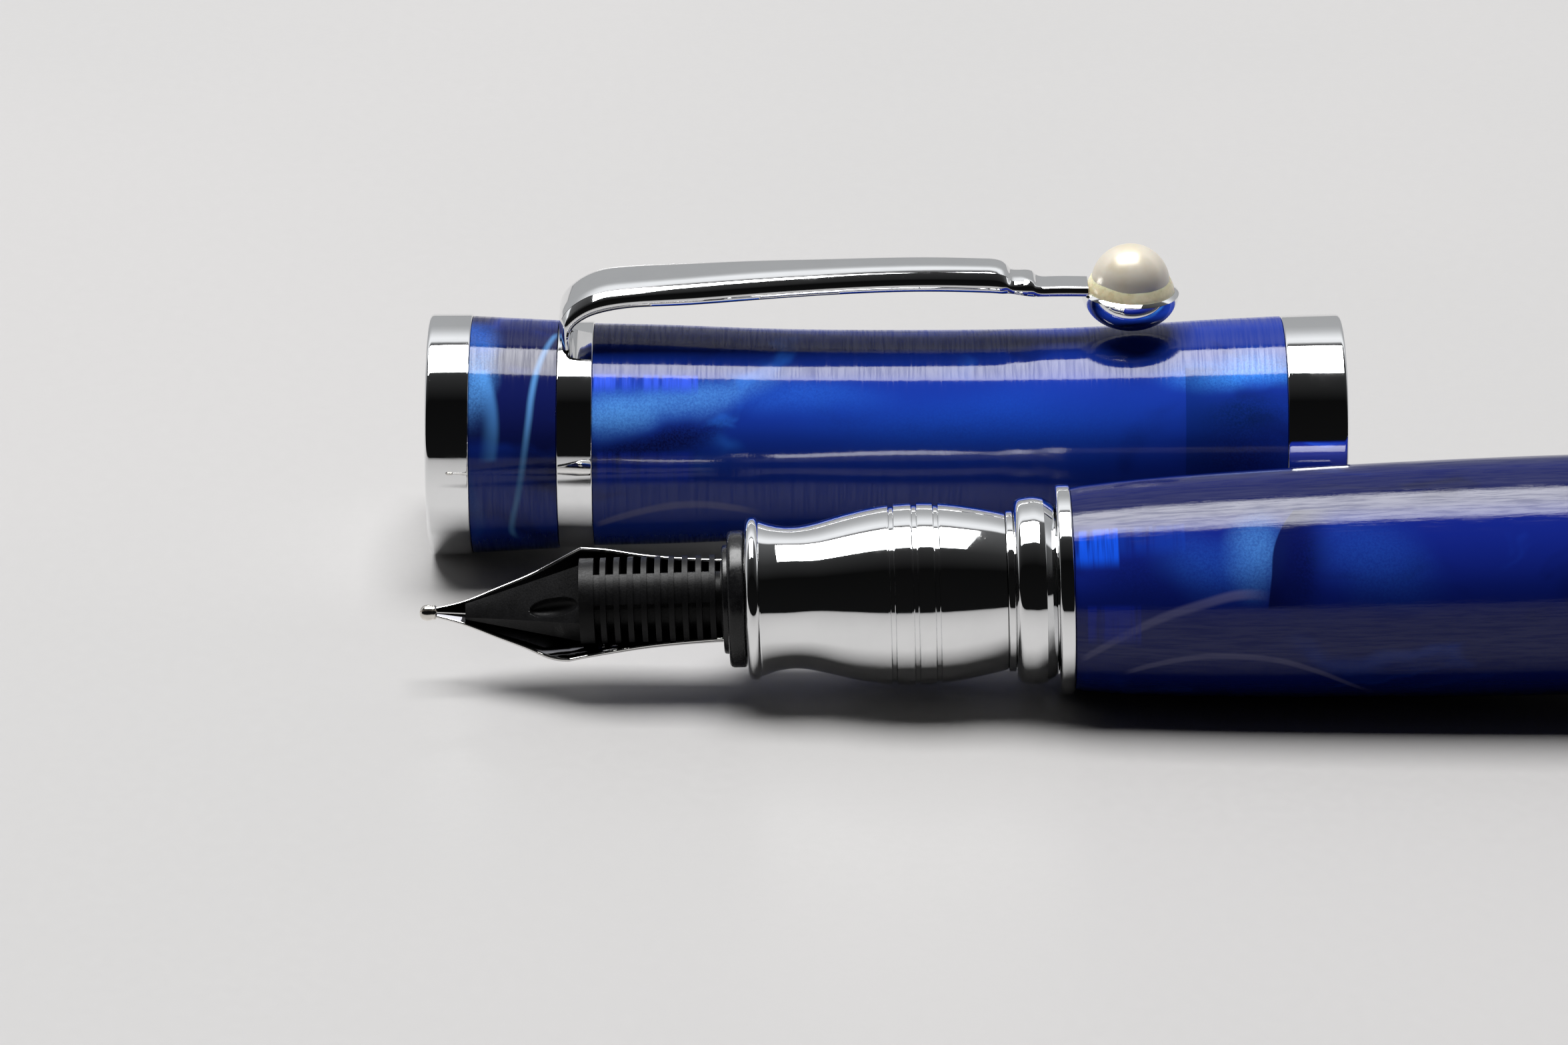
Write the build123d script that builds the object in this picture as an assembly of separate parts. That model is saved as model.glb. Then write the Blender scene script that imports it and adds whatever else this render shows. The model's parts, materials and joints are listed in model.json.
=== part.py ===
"""Fountain pen lying uncapped beside its cap: turned acrylic shells, chrome fittings, nib unit and converter.

Millimetres, +Z up. The pen lies along +X with its nib towards -X, pitched a little nose-down on its barrel.
The cap lies level behind it (+Y), its closed end towards -X and its clip straight up. Each round piece is
modelled about the X axis, x counted from the nib's tip for the pen and from the same plane for the cap, and
is then laid in place. The origin ends up under the middle of the whole arrangement, on the table's surface.
"""
import os
from math import atan2, cos, sin

from build123d import *

# ---- driving dimensions -------------------------------------------------------------------------------
PITCH_DEG = 1.85         # nose-down pitch of the pen
NIB_ROLL_DEG = -133.0    # roll of the nib unit: the feed looks up and forwards
CAP_Y = 21.6             # cap axis behind the pen axis

NIB_THICK = 0.22
NIB_R = 2.62             # outside of the nib where it wraps the feed
NIB_REAR = 24.0
TIP_X = 0.65             # the tipping pellet ends and the tines begin
SLIT = 0.10
BREATHER_X = 11.0
BREATHER_R = 0.55

FEED_R = 2.36            # where the nib wraps the feed
FEED_OPEN_R = 2.75       # band and fins on the open side
FEED_SPINE_R = 2.60
FEED_CORE_R = 1.75
FEED_NOSE = 2.52
FIN_FIRST = 10.9
FIN_PITCH = 0.83
FIN_THICK = 0.33
FIN_COUNT = 9
FEED_REAR = 31.0

HOUSING_RING_X = 18.3
HOUSING_FLANGE_X = 18.6
HOUSING_FLANGE_R = 4.17
HOUSING_BORE_R = 2.68
HOUSING_SLEEVE_R = 3.50
NIPPLE_X = 33.4
NIPPLE_END = 38.5
NIPPLE_R = 2.10

GRIP_X = 19.7
GRIP_END = 36.0
GRIP_BORE_R = 3.55
GRIP_REAR_BORE_R = 3.85
TENON_END = 46.5
TENON_ROOT_R = 4.42
TENON_CREST_R = 4.62
THREAD_PITCH = 0.8
GRIP_LINES = (28.6, 30.0, 31.3)
GRIP_LINE_WIDTH = 0.26
GRIP_LINE_DEPTH = 0.12

FLANGE_X = 38.6
BARREL_X = 39.5
FLANGE_R = 6.38
COUPLER_BORE_R = 4.68
COUPLER_DEPTH = 8.6
COUPLER_R = 5.58
BARREL_BORE_R = 5.05
TAIL_X = 112.6
TAIL_END = 120.0
TAIL_BUSH_DEPTH = 5.0

CONVERTER_X = 34.6
TUBE_END = 80.0
TUBE_R = 3.35
TUBE_BORE_R = 2.60
COLLAR_R = 3.65
GUIDE_DEPTH = 4.0
KNOB_X = 80.3
KNOB_END = 100.0
KNOB_R = 3.40
KNOB_BORE_R = 1.75
ROD_SIDE = 2.2
ROD_END = 83.0
PISTON_X = 41.0
PISTON_LENGTH = 4.0

CAP_X = -0.6
TOP_SHELL_X = 2.15
CLIP_RING_X = 7.65
CAP_SHELL_X = 9.9
LIP_RING_X = 53.65
CAP_END = 57.45
FINIAL_R = 7.70
CLIP_RING_R = 7.25
LIP_R = 7.70             # the lip ring flares to this from LIP_START_R
LIP_START_R = 7.58
CAP_BORE_R = 5.50
TOP_INSERT_DEPTH = 7.3
LIP_INSERT_DEPTH = 6.5
LIP_INSERT_R = 6.10
LIP_INSERT_BORE_R = 5.62
STUD_R = 2.4
LINER_BORE_R = 5.80
LINER_R = 6.35
LINER_X = 54.7

FIT = 0.02               # gap round a piece glued or pressed in
RUN = 0.05               # gap round a piece that moves

CLIP_WIDTH = 5.6          # at its root
CLIP_TAB = 0.65          # thickness of the clip where it enters its ring
CLIP_TAB_X = 7.75
CLIP_FOOT_R = 0.7
CLIP_FOOT_WIDTH = 3.0
CLIP_FOOT_X = 8.6
CLIP_FOOT_Z = 6.3        # above the cap's axis
NECK_X = 38.1
NECK_TOP = 10.5
NECK_THICK = 0.6
NECK_WIDTH = 2.4
CUP_X = 43.9
CUP_RIM = 9.80           # plane of the cup's rim above the cap's axis
CUP_R = 3.10
CUP_DEPTH = 2.40
CUP_WALL = 0.30
CUP_TILT_DEG = 1.5
BED_RISE = 0.85          # height of the cement collar above the rim
PEARL_R = 2.50
PEARL_RISE = 0.60        # centre of the pearl above the rim


# ---- helpers ------------------------------------------------------------------------------------------
def turned(*edges):
    """A solid turned about the X axis from a closed outline of edges in the upper half of the XY plane."""
    return revolve(make_face(Wire(edges)), Axis.X)


def outline(points):
    """Straight edges through points, as a list."""
    return [Line(a, b).edge() for a, b in zip(points, points[1:])]


def tube(x0, x1, outer, bore):
    """A plain tube, or a rod where the bore is 0."""
    corners = [(x0, bore), (x0, outer), (x1, outer), (x1, bore), (x0, bore)]
    return turned(*outline(corners))


def rings(first, last, pitch, root, crest):
    """Turned thread crests as evenly spaced rings, added to a shaft of radius root."""
    count = int((last - first) / pitch)
    flank = 0.25 * pitch
    made = []
    for index in range(count):
        x = first + (index + 0.5) * pitch
        corners = [(x - flank, root - 0.1), (x - flank / 2, crest), (x + flank / 2, crest), (x + flank, root - 0.1)]
        made.append(turned(*outline(corners + corners[:1])))
    return made


def shell(profile, bore_steps):
    """A turned shell: a smooth outside through profile, and a stepped bore given from the far end back."""
    skin = Spline(*profile).edge()
    corners = [profile[-1]] + bore_steps + [profile[0]]
    return turned(skin, *outline(corners))


def crescent(x, half_width, edge, crown):
    """Section of the nib's curved sheet at x: an arc from height edge at its sides up to height crown."""
    rise = crown - edge
    radius = (half_width ** 2 + rise ** 2) / (2 * rise)
    wide = atan2(half_width, radius - rise)
    centre = crown - radius

    def at(r, angle):
        return (x, r * sin(angle), centre + r * cos(angle))

    inner = radius - NIB_THICK
    outer_arc = ThreePointArc(at(radius, -wide), at(radius, 0), at(radius, wide)).edge()
    inner_arc = ThreePointArc(at(inner, wide), at(inner, 0), at(inner, -wide)).edge()
    sides = [Line(at(radius, wide), at(inner, wide)).edge(), Line(at(inner, -wide), at(radius, -wide)).edge()]
    return Face(Wire([outer_arc, sides[0], inner_arc, sides[1]]))


# ---- barrel -------------------------------------------------------------------------------------------
def make_barrel_shell():
    profile = [(BARREL_X + 0.02, 6.20), (40.8, 6.33), (47.3, 6.77), (55.4, 7.05), (69.1, 7.28), (84.0, 7.15),
               (100.0, 6.55), (TAIL_X, 5.75)]
    insert_end = BARREL_X + COUPLER_DEPTH + 0.1
    bore = [(TAIL_X, BARREL_BORE_R), (insert_end, BARREL_BORE_R), (insert_end, COUPLER_R + FIT),
            (BARREL_X + 0.02, COUPLER_R + FIT)]
    return shell(profile, bore)


def make_barrel_coupler():
    """Chrome flange ring on the barrel's mouth, with the threaded insert that takes the section."""
    edge = 0.2
    end = BARREL_X + COUPLER_DEPTH
    corners = [(FLANGE_X, COUPLER_BORE_R + 0.5), (FLANGE_X, FLANGE_R - edge), (FLANGE_X + edge, FLANGE_R),
               (BARREL_X - edge / 2, FLANGE_R), (BARREL_X, FLANGE_R - edge / 2), (BARREL_X, COUPLER_R - 0.15),
               (end, COUPLER_R - 0.15), (end, COUPLER_BORE_R), (FLANGE_X + 0.5, COUPLER_BORE_R),
               (FLANGE_X, COUPLER_BORE_R + 0.5)]
    body = turned(*outline(corners))
    for ridge in rings(BARREL_X + 0.6, end - 0.4, THREAD_PITCH, COUPLER_R - 0.15, COUPLER_R):
        body += ridge
    return body


def make_tail_bush():
    start = TAIL_X - TAIL_BUSH_DEPTH
    return tube(start, TAIL_X - 0.02, BARREL_BORE_R - FIT, 3.0)


def make_tail_finial():
    """Chrome tail: a ring with a turned neck and a low dome, on a spigot in the bush."""
    start = TAIL_X
    ring_end = start + 1.7
    edges = outline([(start - 4.0, 0), (start - 4.0, 3.0 - FIT), (start, 3.0 - FIT), (start, 5.7), (start + 0.3, 6.0),
                     (ring_end - 0.3, 6.0), (ring_end, 5.7), (ring_end, 5.2)])
    neck = ThreePointArc((ring_end, 5.2), (ring_end + 0.7, 4.9), (ring_end + 1.4, 5.2)).edge()
    dome = Spline((ring_end + 1.4, 5.2), (TAIL_END - 2.2, 4.3), (TAIL_END, 0), tangents=[(1, 0), (0, -1)]).edge()
    close = Line((TAIL_END, 0), (start - 4.0, 0)).edge()
    return turned(*edges, neck, dome, close)


# ---- section ------------------------------------------------------------------------------------------
def make_grip_section():
    """Chrome grip, waisted behind its lip and swelling to the middle, with the tenon that screws in the barrel."""
    lip = ThreePointArc((GRIP_X, 4.48), (19.87, 4.85), (20.3, 4.98)).edge()
    waist = Spline((20.3, 4.98), (21.2, 4.65), (22.6, 4.35), (24.6, 4.72), (27.0, 5.27), (30.0, 5.56), (32.7, 5.36),
                   (35.1, 4.87), (35.6, 4.74)).edge()
    rear = outline([(35.6, 4.74), (35.6, 4.93), (GRIP_END, 4.93), (GRIP_END, TENON_ROOT_R), (TENON_END, TENON_ROOT_R),
                    (TENON_END, GRIP_REAR_BORE_R), (33.0, GRIP_REAR_BORE_R), (33.0, GRIP_BORE_R),
                    (GRIP_X, GRIP_BORE_R), (GRIP_X, 4.48)])
    body = turned(lip, waist, *rear)
    for ridge in rings(40.0, TENON_END - 0.2, THREAD_PITCH, TENON_ROOT_R, TENON_CREST_R):
        body += ridge
    for x in GRIP_LINES:
        body -= tube(x - GRIP_LINE_WIDTH / 2, x + GRIP_LINE_WIDTH / 2, 6.5, grip_radius(x) - GRIP_LINE_DEPTH)
    return body


def grip_radius(x):
    """Radius of the grip near its widest place, where the turned lines are."""
    return 5.56 - 0.03 * (x - 30.0) ** 2


def make_bead_ring():
    """Rounded ring between the grip and the barrel, over the tenon."""
    bore = TENON_CREST_R + FIT
    start = GRIP_END + 0.03
    crown = Spline((start, 5.27), (36.45, 5.64), (37.2, 5.74), (37.9, 5.62), (FLANGE_X - 0.05, 5.14),
                   tangents=[(0.2, 1), (1, -0.5)]).edge()
    rest = outline([(FLANGE_X - 0.05, 5.14), (FLANGE_X - 0.05, bore), (start, bore), (start, 5.27)])
    return turned(crown, *rest)


def make_section_seal():
    """Soft ring on the root of the tenon, between the bead ring and the coupler's mouth."""
    return tube(FLANGE_X + 0.02, FLANGE_X + 0.45, TENON_CREST_R + 0.12, TENON_ROOT_R + FIT)


# ---- nib unit -----------------------------------------------------------------------------------------
def make_nib_housing():
    """Black plastic housing: front ring, flange, sleeve that screws in the grip, and the converter's nipple."""
    edge = 0.25
    front = [(HOUSING_RING_X, HOUSING_BORE_R), (HOUSING_RING_X, 3.3), (HOUSING_FLANGE_X, 3.3),
             (HOUSING_FLANGE_X, HOUSING_FLANGE_R - edge), (HOUSING_FLANGE_X + edge, HOUSING_FLANGE_R),
             (GRIP_X - edge, HOUSING_FLANGE_R), (GRIP_X - 0.02, HOUSING_FLANGE_R - edge)]
    sleeve = [(GRIP_X - 0.02, HOUSING_SLEEVE_R), (32.6, HOUSING_SLEEVE_R), (NIPPLE_X, 3.0), (NIPPLE_X, NIPPLE_R),
              (NIPPLE_END, NIPPLE_R - 0.1), (NIPPLE_END, 1.2), (FEED_REAR + 0.3, 1.2),
              (FEED_REAR + 0.3, HOUSING_BORE_R), (HOUSING_RING_X, HOUSING_BORE_R)]
    return turned(*outline(front + sleeve))


def make_nib_blade():
    """Nib: a curved sheet that wraps the feed, flares to its shoulders and sweeps in to the tines."""
    stations = [(TIP_X, 0.38, 0.93, 1.05), (2.42, 0.84, 1.20, 1.45), (4.02, 1.50, 1.30, 1.80), (5.22, 2.00, 1.32, 2.02),
                (6.52, 2.56, 1.22, 2.22), (7.42, 3.02, 1.02, 2.36), (8.20, 3.38, 0.66, 2.48), (8.90, 3.60, 0.25, 2.58),
                (9.42, 3.64, -0.10, 2.61), (11.2, 3.40, -0.27, 2.61), (13.0, 3.08, -0.25, 2.62),
                (15.3, 2.81, -0.15, 2.62), (18.0, NIB_R, -0.05, NIB_R), (NIB_REAR, NIB_R, -0.05, NIB_R)]
    blade = loft([crescent(*station) for station in stations], ruled=True)
    blade -= Pos((TIP_X + BREATHER_X) / 2, 0, 2) * Box(BREATHER_X - TIP_X + 1, SLIT, 6)
    blade -= Pos(BREATHER_X, 0, 2) * Cylinder(BREATHER_R, 4)
    return blade


def make_nib_tipping():
    """Writing pellet, split by the slit like the tines it sits on."""
    radius = 0.48
    ball = Pos(TIP_X - 0.45, 0, 0.90) * Sphere(radius)
    ball &= Pos(-1 + TIP_X - 0.01, 0, 0) * Box(2, 4, 4)
    return ball - Box(4, SLIT, 4)


def open_side(body):
    """What of a body lies on the feed's open side, below the nib's edges."""
    return body & Pos(15, 0, -5.45) * Box(40, 20, 10)


def make_nib_feed():
    """Black feed: flat-bottomed wedge with a scoop, a plain band, thin fins with a spine along them, and a tail."""
    def wedge_section(x, bottom, bottom_half, middle, middle_half, top, top_half):
        right = [(bottom_half, bottom), (middle_half, middle), (top_half, top)]
        corners = right + [(-half, height) for half, height in reversed(right)]
        return Face(Wire.make_polygon([(x, half, height) for half, height in corners], close=True))

    wedge = loft([wedge_section(FEED_NOSE, 0.72, 0.45, 0.95, 0.50, 1.12, 0.40),
                  wedge_section(9.65, -1.75, 1.88, 0.0, 2.45, 1.60, 1.80)], ruled=True)
    wedge -= Pos(7.8, 0.1, -1.35) * Rot(0, -18, 0) * scale(Sphere(0.85), by=(2.0, 0.9, 1))
    band_end = FIN_FIRST - 0.4
    body = wedge + tube(9.6, band_end, FEED_R, 0) + open_side(tube(9.6, band_end, FEED_OPEN_R, 0))
    body += tube(band_end - 0.1, FEED_REAR, FEED_CORE_R, 0)
    for index in range(FIN_COUNT):
        x = FIN_FIRST + index * FIN_PITCH
        body += tube(x, x + FIN_THICK, FEED_R, 0) + open_side(tube(x, x + FIN_THICK, FEED_OPEN_R, 0))
    last = FIN_FIRST + (FIN_COUNT - 1) * FIN_PITCH + FIN_THICK
    spine = tube(band_end - 0.1, last, FEED_SPINE_R, 0) & Pos(15, 0, -5) * Box(40, 1.95, 10)
    return body + spine + tube(HOUSING_RING_X - 0.1, FEED_REAR, FEED_R, 0)


# ---- converter ----------------------------------------------------------------------------------------
def make_converter_tube():
    """Clear tube with a thick mouth that grips the nipple."""
    mouth_end = NIPPLE_END + 0.4
    corners = [(CONVERTER_X, NIPPLE_R + 0.03), (CONVERTER_X, TUBE_R), (TUBE_END, TUBE_R), (TUBE_END, TUBE_BORE_R),
               (mouth_end + 0.8, TUBE_BORE_R), (mouth_end, NIPPLE_R + 0.03), (CONVERTER_X, NIPPLE_R + 0.03)]
    return turned(*outline(corners))


def make_converter_collar():
    start = TUBE_END - 10.5
    body = tube(start, TUBE_END, COLLAR_R, TUBE_R + FIT)
    return body - tube(start + 1.2, start + 1.5, 5, COLLAR_R - 0.08)


def make_converter_guide():
    """Plug in the tube's rear with the square hole that keeps the rod from turning."""
    plug = tube(TUBE_END - GUIDE_DEPTH, TUBE_END, TUBE_BORE_R - FIT, 0)
    hole = ROD_SIDE + 2 * RUN
    return plug - Pos(TUBE_END - GUIDE_DEPTH / 2, 0, 0) * Box(GUIDE_DEPTH + 1, hole, hole)


def make_converter_knob():
    """Hollow fluted knob: turning it draws the rod back."""
    body = turned(*outline([(KNOB_X, KNOB_BORE_R), (KNOB_X, 3.0), (KNOB_X + 0.8, 3.0), (KNOB_X + 0.8, KNOB_R),
                            (KNOB_END - 0.6, KNOB_R), (KNOB_END, KNOB_R - 0.6), (KNOB_END, 0),
                            (KNOB_END - 1.2, 0), (KNOB_END - 1.2, KNOB_BORE_R), (KNOB_X, KNOB_BORE_R)]))
    flutes = 16
    for index in range(flutes):
        flute = Pos(KNOB_X + 11, 0, KNOB_R + 0.25) * Rot(0, 90, 0) * Cylinder(0.42, 14)
        body -= Rot(360 / flutes * index, 0, 0) * flute
    return body


def make_piston_rod():
    start = PISTON_X + 1.0
    return Pos((start + ROD_END) / 2, 0, 0) * Box(ROD_END - start, ROD_SIDE, ROD_SIDE)


def make_piston_seal():
    """Soft piston with two lips, on the rod's end."""
    sealing = TUBE_BORE_R - 0.03
    waist = sealing - 0.35
    end = PISTON_X + PISTON_LENGTH
    corners = [(PISTON_X, 0), (PISTON_X, sealing - 0.3), (PISTON_X + 0.3, sealing), (PISTON_X + 1.1, sealing),
               (PISTON_X + 1.4, waist), (end - 1.4, waist), (end - 1.1, sealing), (end, sealing), (end, 0)]
    body = turned(*outline(corners + corners[:1]))
    return body - make_piston_rod()


# ---- cap ----------------------------------------------------------------------------------------------
def make_cap_finial():
    """Chrome end ring and face of the cap, with the stud that clamps the short shell and the clip ring."""
    edge = 0.35
    corners = [(CAP_X, 0), (CAP_X, FINIAL_R - edge), (CAP_X + edge, FINIAL_R), (TOP_SHELL_X - 0.1, FINIAL_R),
               (TOP_SHELL_X, FINIAL_R - 0.1), (TOP_SHELL_X, STUD_R), (13.5, STUD_R), (13.5, 0)]
    return turned(*outline(corners + corners[:1]))


def make_cap_top_shell():
    start = TOP_SHELL_X + 0.02
    end = CLIP_RING_X - 0.02
    profile = [(start, 7.57), ((start + end) / 2, 7.43), (end, 7.29)]
    return shell(profile, [(end, STUD_R + 0.4), (start, STUD_R + 0.4)])


def make_clip_ring():
    """Disc with a chrome rim, and a pocket in its top for the tab and foot of the clip."""
    edge = 0.15
    corners = [(CLIP_RING_X, STUD_R + FIT), (CLIP_RING_X, CLIP_RING_R - edge), (CLIP_RING_X + edge, CLIP_RING_R),
               (CAP_SHELL_X - edge, CLIP_RING_R), (CAP_SHELL_X, CLIP_RING_R - edge), (CAP_SHELL_X, STUD_R + FIT)]
    body = turned(*outline(corners + corners[:1]))
    body -= Pos(CLIP_FOOT_X, 0, CLIP_FOOT_Z) * Rot(90, 0, 0) * Cylinder(CLIP_FOOT_R + RUN, CLIP_FOOT_WIDTH + 2 * RUN)
    slot_end = CLIP_TAB_X + CLIP_TAB + RUN
    return body - Pos(slot_end - 1, 0, CLIP_FOOT_Z + 0.9) * Box(2, CLIP_WIDTH + 2 * RUN, 2)


def make_cap_top_insert():
    start = CAP_SHELL_X + 0.02
    end = CAP_SHELL_X + TOP_INSERT_DEPTH
    body = tube(start, end, CAP_BORE_R - FIT - 0.12, STUD_R + FIT)
    for ridge in rings(start + 0.4, end - 0.2, THREAD_PITCH, CAP_BORE_R - FIT - 0.12, CAP_BORE_R - FIT):
        body += ridge
    return body


def make_cap_shell():
    start = CAP_SHELL_X + 0.02
    end = LIP_RING_X - 0.02
    profile = [(start, 7.10), (14.6, 7.00), (20.5, 6.78), (27.0, 6.68), (33.5, 6.69), (39.9, 6.81), (44.5, 7.03),
               (48.3, 7.28), (end, 7.55)]
    step = LIP_RING_X - LIP_INSERT_DEPTH - 0.05
    bore = [(end, LIP_INSERT_R + FIT), (step, LIP_INSERT_R + FIT), (step, CAP_BORE_R), (start, CAP_BORE_R)]
    return shell(profile, bore)


def make_cap_lip_insert():
    start = LIP_RING_X - LIP_INSERT_DEPTH
    end = LINER_X - 0.05
    body = tube(start, end, LIP_INSERT_R - 0.12, LIP_INSERT_BORE_R)
    for ridge in rings(start + 0.3, LIP_RING_X - 0.3, THREAD_PITCH, LIP_INSERT_R - 0.12, LIP_INSERT_R):
        body += ridge
    return body


def make_cap_lip_ring():
    edge = 0.25
    start = LIP_RING_X
    corners = [(start, LINER_R + FIT), (start, LIP_START_R - 0.1), (start + 0.1, LIP_START_R), (CAP_END - edge, LIP_R),
               (CAP_END, LIP_R - edge), (CAP_END, LINER_R + FIT)]
    return turned(*outline(corners + corners[:1]))


def make_cap_liner():
    """Plastic liner inside the lip ring: it grips the pen's bead ring and so holds the cap on."""
    end = CAP_END - 0.25
    lead = 0.2
    corners = [(LINER_X, LINER_BORE_R), (LINER_X, LINER_R), (end, LINER_R), (end, LINER_BORE_R + lead),
               (end - lead, LINER_BORE_R)]
    return turned(*outline(corners + corners[:1]))


# ---- clip ---------------------------------------------------------------------------------------------
def make_clip_arm():
    """Side outline extruded across and trimmed to the tapering plan: tab, bend, arm, step, neck; and its foot."""
    left = CLIP_TAB_X
    right = left + CLIP_TAB
    neck_end = CUP_X - CUP_R + 0.5
    outer = [Line((left, CLIP_FOOT_Z), (left, 8.4)).edge(),
             Spline((left, 8.4), (7.98, 9.1), (8.75, 9.95), (9.63, 10.47), (11.55, 10.92), (14.75, 11.15), (19.0, 11.44),
                    (25.4, 11.73), (31.8, 11.86), (35.6, 11.75), tangents=[(0, 1), (1, -0.05)],
                    tangent_scalars=[1, 1]).edge()]
    end = outline([(35.6, 11.75), (36.4, 11.2), (36.8, 11.0), (37.6, 10.92), (NECK_X, NECK_TOP),
                   (neck_end, NECK_TOP), (neck_end, NECK_TOP - NECK_THICK), (NECK_X, NECK_TOP - NECK_THICK)])
    inner = [Spline((NECK_X, NECK_TOP - NECK_THICK), (36.2, 10.25), (31.8, 10.48), (25.4, 10.34), (19.0, 10.0),
                    (14.75, 9.77), (11.55, 9.58), (9.63, 9.09), (8.8, 8.5), (right, 7.6),
                    tangents=[(-1, 0), (-0.1, -1)]).edge()]
    foot = outline([(right, 7.6), (right, CLIP_FOOT_Z), (left, CLIP_FOOT_Z)])
    side = Plane.XZ * make_face(Wire([*outer, *end, *inner, *foot]))
    arm = extrude(side, amount=CLIP_WIDTH / 2, both=True)
    plan = [(left - 1, CLIP_WIDTH / 2), (9.0, CLIP_WIDTH / 2), (14.8, 2.57), (19.0, 2.40), (25.4, 2.05), (31.8, 1.92),
            (35.6, 1.85), (36.4, 1.55), (37.6, 1.40), (NECK_X, NECK_WIDTH / 2), (neck_end + 1, NECK_WIDTH / 2)]
    plan = [(x, -y) for x, y in plan] + plan[::-1]
    arm &= extrude(make_face(Wire.make_polygon(plan, close=True)), amount=20)
    arm += Pos(CLIP_FOOT_X, 0, CLIP_FOOT_Z) * Rot(90, 0, 0) * Cylinder(CLIP_FOOT_R, CLIP_FOOT_WIDTH)
    return arm - cup_place() * egg(CUP_R + FIT, CUP_DEPTH + FIT)


def cup_place():
    """Centre of the cup's rim, tilted with it."""
    return Pos(CUP_X, 0, CUP_RIM) * Rot(0, CUP_TILT_DEG, 0)


def egg(radius, depth):
    """A round body, flattened to half its height of depth."""
    return scale(Sphere(1), by=(radius, radius, depth))


def bowl(radius, depth):
    return egg(radius, depth) & Pos(0, 0, -radius) * Box(4 * radius, 4 * radius, 2 * radius)


def make_pearl_cup():
    return cup_place() * (bowl(CUP_R, CUP_DEPTH) - egg(CUP_R - CUP_WALL, CUP_DEPTH - CUP_WALL))


def make_pearl_bed():
    """Cream cement that fills the cup and rises as a collar round the pearl."""
    radius = CUP_R - CUP_WALL - FIT
    bed = bowl(radius, CUP_DEPTH - CUP_WALL - FIT)
    bed += Pos(0, 0, BED_RISE / 2) * Cone(radius, PEARL_R + 0.05, BED_RISE)
    return cup_place() * (bed - Pos(0, 0, PEARL_RISE) * Sphere(PEARL_R + FIT))


def make_pearl():
    return cup_place() * Pos(0, 0, PEARL_RISE) * Sphere(PEARL_R)


# ---- laying out ---------------------------------------------------------------------------------------
PEN = {
    "barrel_shell": make_barrel_shell,
    "barrel_coupler": make_barrel_coupler,
    "tail_bush": make_tail_bush,
    "tail_finial": make_tail_finial,
    "grip_section": make_grip_section,
    "bead_ring": make_bead_ring,
    "section_seal": make_section_seal,
    "nib_housing": make_nib_housing,
    "converter_tube": make_converter_tube,
    "converter_collar": make_converter_collar,
    "converter_guide": make_converter_guide,
    "converter_knob": make_converter_knob,
    "piston_rod": make_piston_rod,
    "piston_seal": make_piston_seal,
}
NIB = {
    "nib_blade": make_nib_blade,
    "nib_tipping": make_nib_tipping,
    "nib_feed": make_nib_feed,
}
CAP = {
    "cap_finial": make_cap_finial,
    "cap_top_shell": make_cap_top_shell,
    "clip_ring": make_clip_ring,
    "cap_top_insert": make_cap_top_insert,
    "cap_shell": make_cap_shell,
    "cap_lip_insert": make_cap_lip_insert,
    "cap_lip_ring": make_cap_lip_ring,
    "cap_liner": make_cap_liner,
    "clip_arm": make_clip_arm,
    "pearl_cup": make_pearl_cup,
    "pearl_bed": make_pearl_bed,
    "pearl": make_pearl,
}


def lay_out():
    """Every piece where it lies, and the places of the two axes in the final frame."""
    tilt = Rot(0, -PITCH_DEG, 0)
    pieces = {name: tilt * make() for name, make in PEN.items()}
    pieces.update({name: tilt * Rot(NIB_ROLL_DEG, 0, 0) * make() for name, make in NIB.items()})
    axis_z = -pieces["barrel_shell"].bounding_box().min.Z
    pieces = {name: Pos(0, 0, axis_z) * piece for name, piece in pieces.items()}
    pieces.update({name: Pos(0, CAP_Y, FINIAL_R) * make() for name, make in CAP.items()})
    boxes = [piece.bounding_box() for piece in pieces.values()]
    middle_x = (min(box.min.X for box in boxes) + max(box.max.X for box in boxes)) / 2
    middle_y = (min(box.min.Y for box in boxes) + max(box.max.Y for box in boxes)) / 2
    placed = {name: Pos(-middle_x, -middle_y, 0) * piece for name, piece in pieces.items()}
    return placed, (-middle_x, -middle_y, axis_z)


def main():
    os.makedirs("parts", exist_ok=True)
    placed, nib_tip = lay_out()
    for name, piece in placed.items():
        export_step(piece, f"parts/{name}.step")
    print("pen axis at the nib's tip:", [round(value, 4) for value in nib_tip])


if __name__ == "__main__":
    main()
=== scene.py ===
"""Looks of a fountain pen lying uncapped beside its cap: turned pearl acrylic, chrome fittings, a finned feed
and a nib, the converter inside, and a sprung clip that ends in a pearl. Sizes are millimetres in two turned
frames, the pen's and the cap's, both found from the joints of the fixed frame."""

import json
from math import atan2, cos, exp, pi, radians, sin, sqrt

import bpy
import numpy as np
from mathutils import Matrix, Vector, noise


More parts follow.
